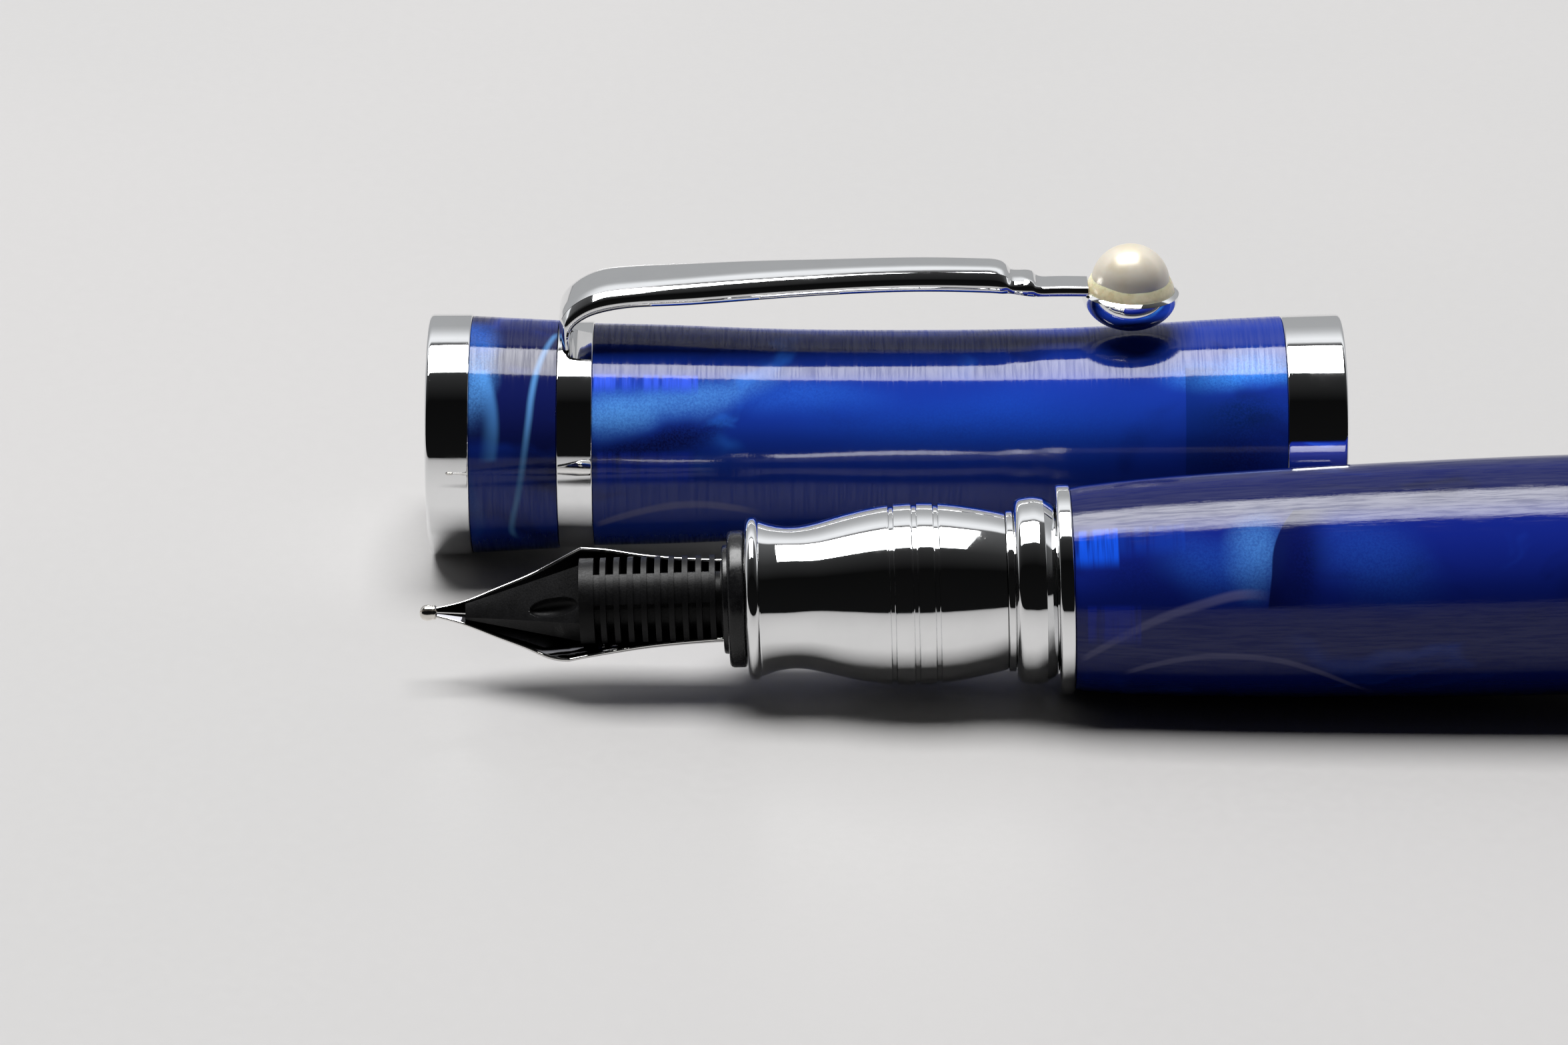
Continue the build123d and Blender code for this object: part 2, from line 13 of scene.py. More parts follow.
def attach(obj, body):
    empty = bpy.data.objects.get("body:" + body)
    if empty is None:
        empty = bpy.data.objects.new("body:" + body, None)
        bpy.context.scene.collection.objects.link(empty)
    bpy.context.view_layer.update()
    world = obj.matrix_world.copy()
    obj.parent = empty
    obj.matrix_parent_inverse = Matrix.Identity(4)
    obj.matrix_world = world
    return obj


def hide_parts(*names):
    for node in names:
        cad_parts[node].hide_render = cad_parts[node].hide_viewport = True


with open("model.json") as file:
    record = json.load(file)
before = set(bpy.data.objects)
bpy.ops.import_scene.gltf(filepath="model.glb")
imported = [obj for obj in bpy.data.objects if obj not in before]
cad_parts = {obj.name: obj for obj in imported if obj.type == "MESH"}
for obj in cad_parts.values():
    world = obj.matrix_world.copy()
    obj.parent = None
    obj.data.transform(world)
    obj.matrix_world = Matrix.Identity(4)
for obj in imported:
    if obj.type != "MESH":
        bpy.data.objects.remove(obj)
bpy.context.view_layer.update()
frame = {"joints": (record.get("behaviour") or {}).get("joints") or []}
MM = 0.001
SAME_POINT = 1e-4            # two points of an outline closer than this are one
ON_AXIS = 1e-5               # a radius below this is a point on the axis
CORNER_SHARE = 0.48          # the most of a straight run that rounding one of its corners may take

# ---- the two turned frames ---------------------------------------------------------------------------------
KNOB_STATION = 90.0          # where the knob's joint sits along the pen, counted from the nib's tip
CLIP_FOOT = (8.6, 6.3)       # the clip's hinge: station along the cap, and height above its axis
NIB_ROLL = radians(-133.0)   # the feed looks up and forwards

joints = {joint["name"]: joint for joint in frame["joints"]}
pen_axis = Vector(joints["knob_turn"]["axis"]).normalized()
nib_tip = Vector(joints["knob_turn"]["pos_m"]) - pen_axis * KNOB_STATION * MM
PEN = Matrix.Translation(nib_tip) @ pen_axis.to_track_quat("X", "Z").to_matrix().to_4x4()
NIB = PEN @ Matrix.Rotation(NIB_ROLL, 4, "X")
clip_hinge = Vector(joints["clip_spring"]["pos_m"])
CAP = Matrix.Translation(clip_hinge - Vector((CLIP_FOOT[0], 0, CLIP_FOOT[1])) * MM)


# ---- mesh helpers ------------------------------------------------------------------------------------------
def piece(name, verts, faces, place, body, material, node=None, sharp=35.0):
    """A mesh piece from points in millimetres in one of the turned frames, riding on a body. The points stay
    with the mesh as an attribute, so that materials can be laid out along and round the turned axis."""
    mesh = bpy.data.meshes.new(name)
    mesh.from_pydata([place @ Vector([c * MM for c in v]) for v in verts], [], faces)
    turned = mesh.attributes.new("turned", "FLOAT_VECTOR", "POINT")
    turned.data.foreach_set("vector", np.array(verts, np.float32).ravel())
    mesh.validate()
    mesh.polygons.foreach_set("use_smooth", [True] * len(mesh.polygons))
    mesh.set_sharp_from_angle(angle=radians(sharp))
    mesh.materials.append(material)
    made = bpy.data.objects.new(name, mesh)
    bpy.context.scene.collection.objects.link(made)
    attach(made, body)
    if node:
        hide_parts(*([node] if isinstance(node, str) else node))
    return made


def natural_spline(points, count):
    """A smooth curve through points, natural cubic by chord length, sampled evenly count times."""
    knots = np.array(points, float)
    chord = np.concatenate([[0], np.cumsum(np.linalg.norm(np.diff(knots, axis=0), axis=1))])
    n = len(knots)
    step = np.diff(chord)
    system = np.zeros((n, n))
    right = np.zeros((n, knots.shape[1]))
    system[0, 0] = system[-1, -1] = 1
    for i in range(1, n - 1):
        system[i, i - 1:i + 2] = step[i - 1], 2 * (step[i - 1] + step[i]), step[i]
        right[i] = 6 * ((knots[i + 1] - knots[i]) / step[i] - (knots[i] - knots[i - 1]) / step[i - 1])
    bend = np.linalg.solve(system, right)
    at = np.linspace(0, chord[-1], count)
    span = np.clip(np.searchsorted(chord, at, "right") - 1, 0, n - 2)
    h = step[span][:, None]
    a = ((chord[span + 1] - at) / step[span])[:, None]
    b = 1 - a
    bulge = (a ** 3 - a) * bend[span] + (b ** 3 - b) * bend[span + 1]
    return a * knots[span] + b * knots[span + 1] + bulge * h ** 2 / 6


def rounded(points, radii, steps=5):
    """A polyline whose corners, but for its two ends, are rounded by quadratic arcs of the given sizes."""
    if not isinstance(radii, (list, tuple)):
        radii = [radii] * len(points)
    made = [points[0]]
    for before, corner, after, radius in zip(points, points[1:], points[2:], radii[1:]):
        b, c, a = (np.array(p, float) for p in (before, corner, after))
        reach_in = min(radius, np.linalg.norm(b - c) * CORNER_SHARE)
        reach_out = min(radius, np.linalg.norm(a - c) * CORNER_SHARE)
        start = c + (b - c) / np.linalg.norm(b - c) * reach_in
        end = c + (a - c) / np.linalg.norm(a - c) * reach_out
        for k in range(steps + 1):
            t = k / steps
            made.append(tuple((1 - t) ** 2 * start + 2 * t * (1 - t) * c + t ** 2 * end))
    made.append(points[-1])
    return made


def add_face(faces, *corners):
    """Adds a face, leaving out corners that have run together, or nothing if fewer than three are left."""
    face = list(dict.fromkeys(corners))
    if len(face) > 2:
        faces.append(face)


def join_rings(faces, count, around, base=0, flipped=False):
    """Adds the faces between count rings of around points each, numbered from base, and the two end caps."""
    for i in range(count - 1):
        for k in range(around):
            a, b = base + i * around + k, base + i * around + (k + 1) % around
            faces.append([a, a + around, b + around, b] if flipped else [a, b, b + around, a + around])
    for i, reverse in ((0, not flipped), (count - 1, flipped)):
        cap = [base + i * around + k for k in range(around)]
        faces.append(cap[::-1] if reverse else cap)


def lathe(name, outline, place, body, material, node=None, turns=160, sharp=35.0, wobble=None):
    """A body turned about the frame's X axis from a closed outline of (station, radius) points."""
    outline = [(float(x), max(float(r), 0.0)) for x, r in outline]
    kept = [outline[0]]
    for point in outline[1:]:
        if abs(point[0] - kept[-1][0]) + abs(point[1] - kept[-1][1]) > SAME_POINT:
            kept.append(point)
    if abs(kept[0][0] - kept[-1][0]) + abs(kept[0][1] - kept[-1][1]) < SAME_POINT:
        kept.pop()
    verts, rows, faces = [], [], []
    for x, r in kept:
        if r < ON_AXIS:
            rows.append([len(verts)] * turns)
            verts.append((x, 0, 0))
            continue
        rows.append([len(verts) + k for k in range(turns)])
        for k in range(turns):
            angle = 2 * pi * k / turns
            radius = r + (wobble(x, r, angle) if wobble else 0)
            verts.append((x, radius * sin(angle), radius * cos(angle)))
    for near, far in zip(rows, rows[1:] + rows[:1]):
        for k in range(turns):
            nxt = (k + 1) % turns
            add_face(faces, near[k], far[k], far[nxt], near[nxt])
    return piece(name, verts, faces, place, body, material, node, sharp)


def spun(name, outline, place, body, material, node, turns=96, sharp=35.0, lift=None):
    """As lathe, but about the frame's Z axis, from an open outline of (radius, height) points between two
    points on the axis. lift raises a point by its radius, height and angle."""
    verts, rows, faces = [], [], []
    for r, z in outline:
        if r < ON_AXIS:
            rows.append([len(verts)] * turns)
            verts.append((0, 0, z))
            continue
        rows.append([len(verts) + k for k in range(turns)])
        for k in range(turns):
            angle = 2 * pi * k / turns
            rise = lift(r, z, angle) if lift else 0.0
            verts.append((r * cos(angle), r * sin(angle), z + rise))
    for near, far in zip(rows, rows[1:]):
        for k in range(turns):
            nxt = (k + 1) % turns
            add_face(faces, near[k], near[nxt], far[nxt], far[k])
    return piece(name, verts, faces, place, body, material, node, sharp)


# ---- material helpers --------------------------------------------------------------------------------------
class Shader:
    """One material's nodes: each method adds a node and gives back its output socket."""

    def __init__(self, name):
        self.material = bpy.data.materials.new(name)
        self.material.use_nodes = True
        self.tree = self.material.node_tree
        self.tree.nodes.clear()
        self.bsdf = self.tree.nodes.new("ShaderNodeBsdfPrincipled")
        out = self.tree.nodes.new("ShaderNodeOutputMaterial")
        self.tree.links.new(self.bsdf.outputs[0], out.inputs["Surface"])
        self.mm = self.attribute("turned")["Vector"]           # millimetres in the piece's own frame

    def put(self, socket, value):
        if hasattr(value, "links"):
            self.tree.links.new(value, socket)
        elif isinstance(value, (tuple, list)) and len(value) == 3 and socket.type == "RGBA":
            socket.default_value = (*value, 1)
        else:
            socket.default_value = value

    def set(self, **values):
        """Sets the surface's own sockets: underscores stand for spaces."""
        for name, value in values.items():
            self.put(self.bsdf.inputs[name.replace("_", " ")], value)
        return self.material

    def vector(self, operation, a, b=None, scale=None):
        made = self.tree.nodes.new("ShaderNodeVectorMath")
        made.operation = operation
        self.put(made.inputs[0], a)
        if b is not None:
            self.put(made.inputs[1], b)
        if scale is not None:
            self.put(made.inputs["Scale"], scale)
        return made.outputs[0]

    def math(self, operation, a, b=0.0, clamp=False):
        made = self.tree.nodes.new("ShaderNodeMath")
        made.operation = operation
        made.use_clamp = clamp
        self.put(made.inputs[0], a)
        self.put(made.inputs[1], b)
        return made.outputs[0]

    def times(self, first, *others):
        """The product of two or more values."""
        for other in others:
            first = self.math("MULTIPLY", first, other)
        return first

    def attribute(self, name):
        made = self.tree.nodes.new("ShaderNodeAttribute")
        made.attribute_name = name
        return made.outputs

    def axes(self, vector):
        made = self.tree.nodes.new("ShaderNodeSeparateXYZ")
        self.put(made.inputs[0], vector)
        return made.outputs

    def join(self, x, y, z):
        made = self.tree.nodes.new("ShaderNodeCombineXYZ")
        for socket, value in zip(made.inputs, (x, y, z)):
            self.put(socket, value)
        return made.outputs[0]

    def noise(self, vector, scale, detail=3.0, rough=0.5, distortion=0.0, colour=False):
        made = self.tree.nodes.new("ShaderNodeTexNoise")
        self.put(made.inputs["Vector"], vector)
        self.put(made.inputs["Scale"], scale)
        self.put(made.inputs["Detail"], detail)
        self.put(made.inputs["Roughness"], rough)
        self.put(made.inputs["Distortion"], distortion)
        return made.outputs["Color" if colour else "Fac"]

    def remap(self, value, low, high, to_low=0.0, to_high=1.0, smooth=True):
        made = self.tree.nodes.new("ShaderNodeMapRange")
        made.interpolation_type = "SMOOTHSTEP" if smooth else "LINEAR"
        names = ("Value", "From Min", "From Max", "To Min", "To Max")
        for name, given in zip(names, (value, low, high, to_low, to_high)):
            self.put(made.inputs[name], given)
        return made.outputs[0]

    def ramp(self, value, stops):
        """Colours along a value: stops are (position, (r, g, b))."""
        made = self.tree.nodes.new("ShaderNodeValToRGB")
        self.put(made.inputs[0], value)
        made.color_ramp.interpolation = "EASE"
        elements = made.color_ramp.elements
        while len(elements) < len(stops):
            elements.new(0.5)
        for element, (position, colour) in zip(elements, stops):
            element.position = position
            element.color = (*colour, 1)
        return made.outputs[0]

    def mix(self, factor, a, b, blend="MIX"):
        made = self.tree.nodes.new("ShaderNodeMix")
        made.data_type = "RGBA"
        made.blend_type = blend
        self.put(made.inputs["Factor"], factor)
        self.put(made.inputs[6], a)
        self.put(made.inputs[7], b)
        return made.outputs[2]

    def curve(self, value, points):
        """A smooth function of a value, through points."""
        made = self.tree.nodes.new("ShaderNodeFloatCurve")
        line = made.mapping.curves[0]
        while len(line.points) < len(points):
            line.points.new(0.5, 0.5)
        for knot, (x, y) in zip(line.points, points):
            knot.location = (x, y)
        made.mapping.update()
        self.put(made.inputs["Value"], value)
        return made.outputs[0]

    def bump(self, height, strength, distance=0.1, normal=None):
        made = self.tree.nodes.new("ShaderNodeBump")
        self.put(made.inputs["Height"], height)
        self.put(made.inputs["Strength"], strength)
        self.put(made.inputs["Distance"], distance * MM)
        if normal is not None:
            self.put(made.inputs["Normal"], normal)
        return made.outputs[0]


# flat dark grey painted as shade over the nib's underside
PAINTED_UNDERSIDE_SHADE = (0.06, 0.06, 0.065)


def chrome(name, tint=(0.86, 0.865, 0.87), rough=0.025, painted_underside=False):
    """Bright plating with a faint bloom of handling marks. Its last flag darkens it with painted shade, a flat
    dark grey, where the mesh's point attribute for that shade is 1."""
    s = Shader(name)
    smear = s.noise(s.mm, 0.35, 4, 0.6)
    specks = s.noise(s.mm, 9.0, 2, 0.5)
    bloom = s.remap(smear, 0.45, 0.8, rough, rough + 0.05)
    roughness = s.math("ADD", bloom, s.remap(specks, 0.72, 0.8, 0.0, 0.12))
    ripple = s.noise(s.mm, 1.6, 2, 0.4)
    colour = s.mix(s.remap(smear, 0.4, 0.75), tint, tuple(0.96 * c for c in tint))
    if painted_underside:
        colour = s.mix(s.attribute("painted_shade")["Fac"], colour, PAINTED_UNDERSIDE_SHADE)
    return s.set(Base_Color=colour, Metallic=1.0, Roughness=roughness, Normal=s.bump(ripple, 0.05, 0.02))


def moulded(name, colour, rough, grain=6.0, depth=0.25, lift=1.6, gloss=0.5):
    """Moulded plastic with a fine grain and slightly worn, lighter patches."""
    s = Shader(name)
    fine = s.noise(s.mm, grain, 4, 0.6)
    cloud = s.noise(s.mm, 0.8, 3, 0.5)
    pale = tuple(min(1.0, c * lift + 0.001) for c in colour)
    shade = s.mix(s.remap(cloud, 0.35, 0.75), colour, pale)
    roughness = s.remap(fine, 0.3, 0.7, rough - 0.05, rough + 0.08)
    return s.set(Base_Color=shade, Roughness=roughness, Specular_IOR_Level=gloss,
                 Normal=s.bump(fine, depth, 0.02))


def turned_metal(name, colour, rough=0.22):
    """Bare turned metal with fine tool lines round its axis."""
    s = Shader(name)
    lines = s.noise(s.join(s.times(s.axes(s.mm)[0], 18.0), 0.0, 0.0), 1.0, 2, 0.6)
    cloud = s.noise(s.mm, 0.5, 3, 0.5)
    shade = s.mix(s.remap(cloud, 0.3, 0.8), colour, tuple(0.8 * c for c in colour))
    roughness = s.remap(lines, 0.3, 0.7, rough - 0.05, rough + 0.1)
    return s.set(Base_Color=shade, Metallic=1.0, Roughness=roughness, Normal=s.bump(lines, 0.25, 0.02))


NAVY = (0.006, 0.010, 0.085)
ROYAL = (0.010, 0.040, 0.36)
DEEP = (0.003, 0.006, 0.07)
DUSK = (0.006, 0.016, 0.20)
# colour of a painted sheen
PAINTED_SHEEN_CYAN = (0.06, 0.32, 1.0)
DARK_TEAL = (0.004, 0.018, 0.10)
AZURE = (0.03, 0.17, 0.80)
PEARL_BLUE = (0.11, 0.38, 0.92)
# colour of the painted insert highlights
PAINTED_GLINT_BLUE = (0.05, 0.13, 0.92)
LILAC = (0.20, 0.20, 0.42)

SHELL_SPAN = 60.0            # stations in millimetres are this many times a curve's 0 to 1
# painted light and shade: how bright the shell's colour is made by angle, from its top (0) to underneath (1),
# after its crown's own two points
PAINTED_GATHER = [(0.17, 0.62), (0.22, 0.95), (0.30, 1.0), (0.40, 0.78), (0.50, 0.6), (0.62, 0.42), (0.75, 0.30),
          (1.0, 0.2)]
TONE_STOPS = (0.20, 0.44, 0.64, 0.80)


def lay_patch(s, body, x, angle, flake, patch):
    """A soft pale or dark cloud: station, angle, half length, half height, lean, colour, strength."""
    x0, a0, wide, tall, lean, colour, strength = patch
    dx = s.math("SUBTRACT", x, x0)
    da = s.math("SUBTRACT", s.math("SUBTRACT", angle, radians(a0)), s.times(dx, lean))
    far = s.math("SQRT", s.math("ADD", s.math("POWER", s.math("DIVIDE", dx, wide), 2.0),
                                s.math("POWER", s.math("DIVIDE", da, radians(tall)), 2.0)))
    mask = s.times(s.remap(far, 1.25, 0.15), strength)
    grainy = s.math("MULTIPLY", mask, s.remap(flake, 0.3, 0.7, 0.60, 1.15), clamp=True)
    return s.mix(grainy, body, colour)


def lay_vein(s, body, x, angle, vein):
    """A thin line of pigment along the shell: from, to, (share, angle) points, width, colour, strength."""
    x0, x1, points, width, colour, strength = vein
    along = s.math("DIVIDE", s.math("SUBTRACT", x, x0), x1 - x0)
    height = s.curve(along, [(u, v / 180.0) for u, v in points])
    off = s.math("ABSOLUTE", s.math("SUBTRACT", s.math("DIVIDE", angle, pi), height))
    inside = s.times(s.remap(along, 0.0, 0.06), s.remap(along, 1.0, 0.80))
    line = s.times(s.remap(off, width / 45.0, width / 160.0), inside)
    return s.mix(s.times(line, strength), body, colour)


def lay_wrap(s, body, x, angle, wrap):
    """A line or an edge of tone round the shell: angles from and to, (share, station) points, how far it
    fades before and after, colour, strength."""
    a0, a1, points, before, after, colour, strength = wrap
    share = s.remap(angle, radians(a0), radians(a1), smooth=False)
    station = s.times(s.curve(share, [(u, v / SHELL_SPAN) for u, v in points]), SHELL_SPAN)
    past = s.math("SUBTRACT", x, station)
    band = s.times(s.remap(past, -before, 0.0), s.remap(past, after, 0.0))
    ends = s.times(s.remap(share, 0.0, 0.05), s.remap(share, 1.0, 0.93))
    return s.mix(s.times(band, ends, strength), body, colour)


def lay_painted_glint(s, body, x, angle, threads, painted_glint):
    """A painted highlight, in soft stripes, where a lit threaded metal insert shows through: stations from and
    to, angles from and to, colour, strength."""
    x0, x1, a0, a1, colour, strength = painted_glint
    across = s.times(s.remap(x, x0 - 0.05, x0 + 0.1), s.remap(x, x1 + 0.05, x1 - 0.1))
    up = s.times(s.remap(angle, radians(a0 - 2), radians(a0 + 1)),
                 s.remap(angle, radians(a1 + 5), radians(a1 - 4)))
    shown = s.times(across, up, s.remap(threads, 0.34, 0.58, 0.15, 1.0))
    return s.mix(s.times(shown, strength), body, colour)


def acrylic(name, tones, patches, veins, wraps, painted_glints, seed, lengthwise=False, crown=0.62):
    """Translucent pearl acrylic under a clear polish. Its colour is painted darkest along the shell's top and
    underneath and brightest at its sides, painted light standing in for light that enters from above and
    gathers there; crown sets the painted brightness along the top. Painted highlights and a painted sheen mark
    where lit metal inserts show through. Polishing marks in the clear skin run lengthwise or round the shell."""
    s = Shader(name)
    x, y, z = s.axes(s.mm)
    angle = s.math("ARCTAN2", s.times(y, -1.0), z)             # 0 on top, positive towards the front
    warp = s.noise(s.vector("ADD", s.mm, (seed, 0, 0)), 0.11, 3, 0.5, colour=True)
    drift = s.vector("SCALE", s.vector("SUBTRACT", warp, (0.5, 0.5, 0.5)), scale=9.0)
    flow = s.vector("ADD", s.vector("MULTIPLY", s.mm, (0.55, 1.0, 1.0)), drift)
    cloud = s.noise(s.vector("ADD", flow, (seed * 3, 7, 0)), 0.16, 3, 0.45, 0.6)
    flake = s.noise(s.mm, 7.0, 3, 0.7)
    body = s.ramp(cloud, list(zip(TONE_STOPS, tones)))
    warp_x, warp_y, _ = s.axes(warp)
    x_bent = s.math("ADD", x, s.remap(warp_x, 0.3, 0.7, -0.8, 0.8, False))
    a_bent = s.math("ADD", angle, s.remap(warp_y, 0.3, 0.7, -0.10, 0.10, False))
    for patch in patches:
        body = lay_patch(s, body, x_bent, a_bent, flake, patch)
    for vein in veins:
        body = lay_vein(s, body, x, angle, vein)
    for wrap in wraps:
        body = lay_wrap(s, body, x, angle, wrap)
    # painted light and shade: the colour is darkened along the top and underneath and kept bright at the sides
    turn = s.math("DIVIDE", s.math("ABSOLUTE", angle), pi)
    painted_gather = s.curve(turn, [(0.0, crown), (0.10, crown - 0.07)] + PAINTED_GATHER)
    body = s.mix(1.0, body, s.join(painted_gather, painted_gather, painted_gather), "MULTIPLY")
    # soft stripes that break up the painted insert highlights
    threads = s.noise(s.join(s.times(x, 1.7), s.times(angle, 0.6), 0.0), 1.0, 3, 0.65)
    for painted_glint in painted_glints:
        body = lay_painted_glint(s, body, x, angle, threads, painted_glint)
    along, around = (0.35, 34.0) if lengthwise else (5.0, 1.5)
    marks = s.noise(s.join(s.times(x, along), s.times(angle, around), 0.0), 1.0, 4, 0.7)
    surface = s.bump(marks, 0.5, 0.010, s.bump(s.noise(s.mm, 1.3, 2, 0.5), 0.3, 0.012))
    return s.set(Base_Color=body, Metallic=0.0, Roughness=s.remap(flake, 0.3, 0.7, 0.30, 0.42),
                 Specular_IOR_Level=0.0, Coat_Weight=s.remap(marks, 0.36, 0.60, 0.60, 1.0),
                 Coat_Roughness=s.remap(marks, 0.40, 0.70, 0.05, 0.16), Coat_IOR=1.39, Coat_Normal=surface)


# ---- materials ---------------------------------------------------------------------------------------------
CHROME = chrome("chrome_plate")
CHROME_SOFT = chrome("chrome_clip", rough=0.03)
# the nib's steel carries painted shade on its underside
NIB_STEEL = chrome("nib_steel", (0.80, 0.79, 0.77), 0.05, painted_underside=True)
PELLET = chrome("tipping_alloy", (0.72, 0.69, 0.64), 0.12)
FEED = moulded("feed_plastic", (0.003, 0.003, 0.0033), 0.38, grain=9.0, depth=0.35, gloss=0.14)
HOUSING = moulded("housing_plastic", (0.004, 0.004, 0.0045), 0.24, grain=4.0, depth=0.12, gloss=0.35)
BRASS = turned_metal("insert_brass", (0.75, 0.60, 0.33))
STEEL = turned_metal("converter_metal", (0.80, 0.80, 0.80), 0.15)
RUBBER = moulded("seal_rubber", (0.02, 0.02, 0.021), 0.6, grain=8.0, depth=0.4)
ROD = moulded("rod_plastic", (0.70, 0.69, 0.64), 0.4, grain=7.0, depth=0.2, lift=1.05)


def clear_plastic():
    s = Shader("clear_plastic")
    haze = s.noise(s.mm, 0.7, 3, 0.5)
    tint = s.mix(s.remap(haze, 0.4, 0.8), (0.93, 0.95, 0.97), (0.86, 0.90, 0.95))
    return s.set(Base_Color=tint, Roughness=s.remap(haze, 0.4, 0.8, 0.03, 0.10), Transmission_Weight=0.92,
                 IOR=1.35)


def pearl_lustre():
    """Nacre: cream body with a silky reflecting skin."""
    s = Shader("pearl_lustre")
    cloud = s.noise(s.mm, 0.45, 3, 0.5)
    rings = s.noise(s.mm, 1.6, 2, 0.5)
    creams = [(0.30, (0.56, 0.50, 0.38)), (0.52, (0.61, 0.56, 0.47)), (0.72, (0.61, 0.56, 0.49))]
    return s.set(Base_Color=s.ramp(cloud, creams), Metallic=0.2,
                 Roughness=s.remap(rings, 0.3, 0.7, 0.30, 0.34), Coat_Weight=0.3,
                 Coat_Roughness=0.16, Subsurface_Weight=0.1, Subsurface_Scale=0.001,
                 Normal=s.bump(rings, 0.008, 0.02))


def cement():
    s = Shader("bed_cement")
    cloud = s.noise(s.mm, 1.1, 3, 0.6)
    shade = s.mix(s.remap(cloud, 0.3, 0.75), (0.58, 0.50, 0.30), (0.76, 0.68, 0.47))
    return s.set(Base_Color=shade, Roughness=s.remap(cloud, 0.3, 0.7, 0.22, 0.4), Subsurface_Weight=0.3,
                 Subsurface_Scale=0.0008, Coat_Weight=0.3, Coat_Roughness=0.2,
                 Normal=s.bump(cloud, 0.18, 0.05))


PEARL = pearl_lustre()
CEMENT = cement()
CLEAR = clear_plastic()
CAP_ACRYLIC = acrylic(
    "cap_acrylic", tones=(NAVY, ROYAL, ROYAL, AZURE),
    patches=[(11.6, 57, 3.4, 14, -0.04, PEARL_BLUE, 0.66), (16.5, 46, 6.0, 12, -0.04, PEARL_BLUE, 0.50),
             (13.8, 72, 6.0, 9, -0.05, NAVY, 0.95), (24.0, 47, 5.0, 13, 0.0, AZURE, 0.35),
             # the cyan cloud at station 50.5 is a painted sheen where the lit lip insert shows through
             (50.5, 35, 5.5, 11, 0.0, PAINTED_SHEEN_CYAN, 0.8), (50.5, 58, 4.0, 12, 0.0, DARK_TEAL, 0.8),
             (50.5, 76, 4.0, 14, 0.0, NAVY, 0.75), (35.0, 62, 13, 22, 0.0, (0.012, 0.07, 0.50), 0.7)],
    veins=[(9.9, 21.0, [(0, 122), (0.28, 111), (0.55, 107), (0.8, 110), (1, 116)], 0.9, LILAC, 0.6)],
    wraps=[(30, 110, [(0, 47.3), (0.5, 47.3), (1, 47.3)], 0.08, 4.5, (0.004, 0.02, 0.13), 0.55)],
    # painted highlights where the lit top insert shows through
    painted_glints=[(10.0, 16.6, 36, 43, PAINTED_GLINT_BLUE, 0.85), (10.2, 16.4, 77, 92, (0.012, 0.035, 0.42), 0.55)], seed=3.0)
TOP_ACRYLIC = acrylic(
    "cap_top_acrylic", tones=(NAVY, NAVY, ROYAL, ROYAL),
    patches=[(2.9, 40, 1.3, 26, 0.02, PEARL_BLUE, 0.6), (2.6, 14, 1.8, 16, 0.0, AZURE, 0.6),
             (6.4, 60, 1.6, 40, 0.0, NAVY, 0.7), (2.4, 95, 0.5, 40, 0.0, (0.02, 0.10, 0.45), 0.6)],
    veins=[],
    wraps=[(34, 82, [(0, 3.05), (0.5, 3.75), (1, 3.6)], 1.0, 0.45, PEARL_BLUE, 0.42),
           (4, 132, [(0, 7.7), (0.23, 6.45), (0.34, 6.12), (0.45, 5.92), (0.73, 5.25), (0.87, 4.82),
                     (0.94, 4.8), (1, 5.2)], 0.32, 0.34, (0.11, 0.32, 0.70), 0.8)],
    painted_glints=[], seed=11.0)
BARREL_ACRYLIC = acrylic(
    "barrel_acrylic", tones=(DEEP, DUSK, DUSK, (0.010, 0.045, 0.38)),
    patches=[(50.3, 48, 2.2, 24, -0.05, PEARL_BLUE, 0.42), (43.6, 60, 3.6, 18, 0.0, DEEP, 0.5),
             (47.4, 54, 3.4, 20, 0.02, AZURE, 0.22), (53.4, 54, 1.9, 30, 0.0, DEEP, 0.9),
             (57.4, 56, 3.6, 24, 0.05, AZURE, 0.17)],
    veins=[(39.6, 51.4, [(0, 110), (0.31, 88), (0.65, 75), (0.86, 71), (1, 73)], 0.9, LILAC, 0.5),
           (42.2, 58.5, [(0, 119), (0.19, 108), (0.43, 105), (0.68, 113), (0.95, 139), (1, 145)], 0.7, LILAC,
            0.55)],
    wraps=[(26, 80, [(0, 52.9), (0.35, 51.6), (0.7, 51.25), (1, 51.0)], 0.12, 3.2, DEEP, 0.95)],
    # painted highlights where the lit coupler shows through
    painted_glints=[(39.6, 42.2, 33, 52, (0.008, 0.10, 0.85), 0.75), (42.2, 46.2, 33, 47, (0.006, 0.05, 0.42), 0.3),
            (40.2, 43.4, 76, 95, (0.006, 0.02, 0.34), 0.6)],
    seed=23.0, lengthwise=True, crown=0.36)


# ---- barrel ------------------------------------------------------------------------------------------------
def make_barrel():
    belly = natural_spline([(39.52, 6.20), (40.8, 6.33), (47.3, 6.77), (55.4, 7.05), (69.1, 7.28),
                            (84.0, 7.15), (100.0, 6.55), (112.6, 5.75)], 120)
    skin = [(39.52, 6.06), (39.55, 6.16)] + list(belly[1:-1]) + [(112.55, 5.74), (112.6, 5.68)]
    bore = [(112.6, 5.05), (48.2, 5.05), (48.2, 5.6), (39.52, 5.6)]
    lathe("barrel", skin + bore, PEN, "barrel", BARREL_ACRYLIC, "barrel_shell", 192)


def make_coupler():
    flange = rounded([(38.6, 5.18), (38.6, 6.38), (39.5, 6.38), (39.5, 5.43)], [0, 0.22, 0.12, 0])
    inner = [(39.5, 5.43), (48.1, 5.43), (48.1, 4.68), (39.1, 4.68), (38.6, 5.18)]
    lathe("coupler_ring", flange + inner, PEN, "barrel", CHROME, "barrel_coupler")


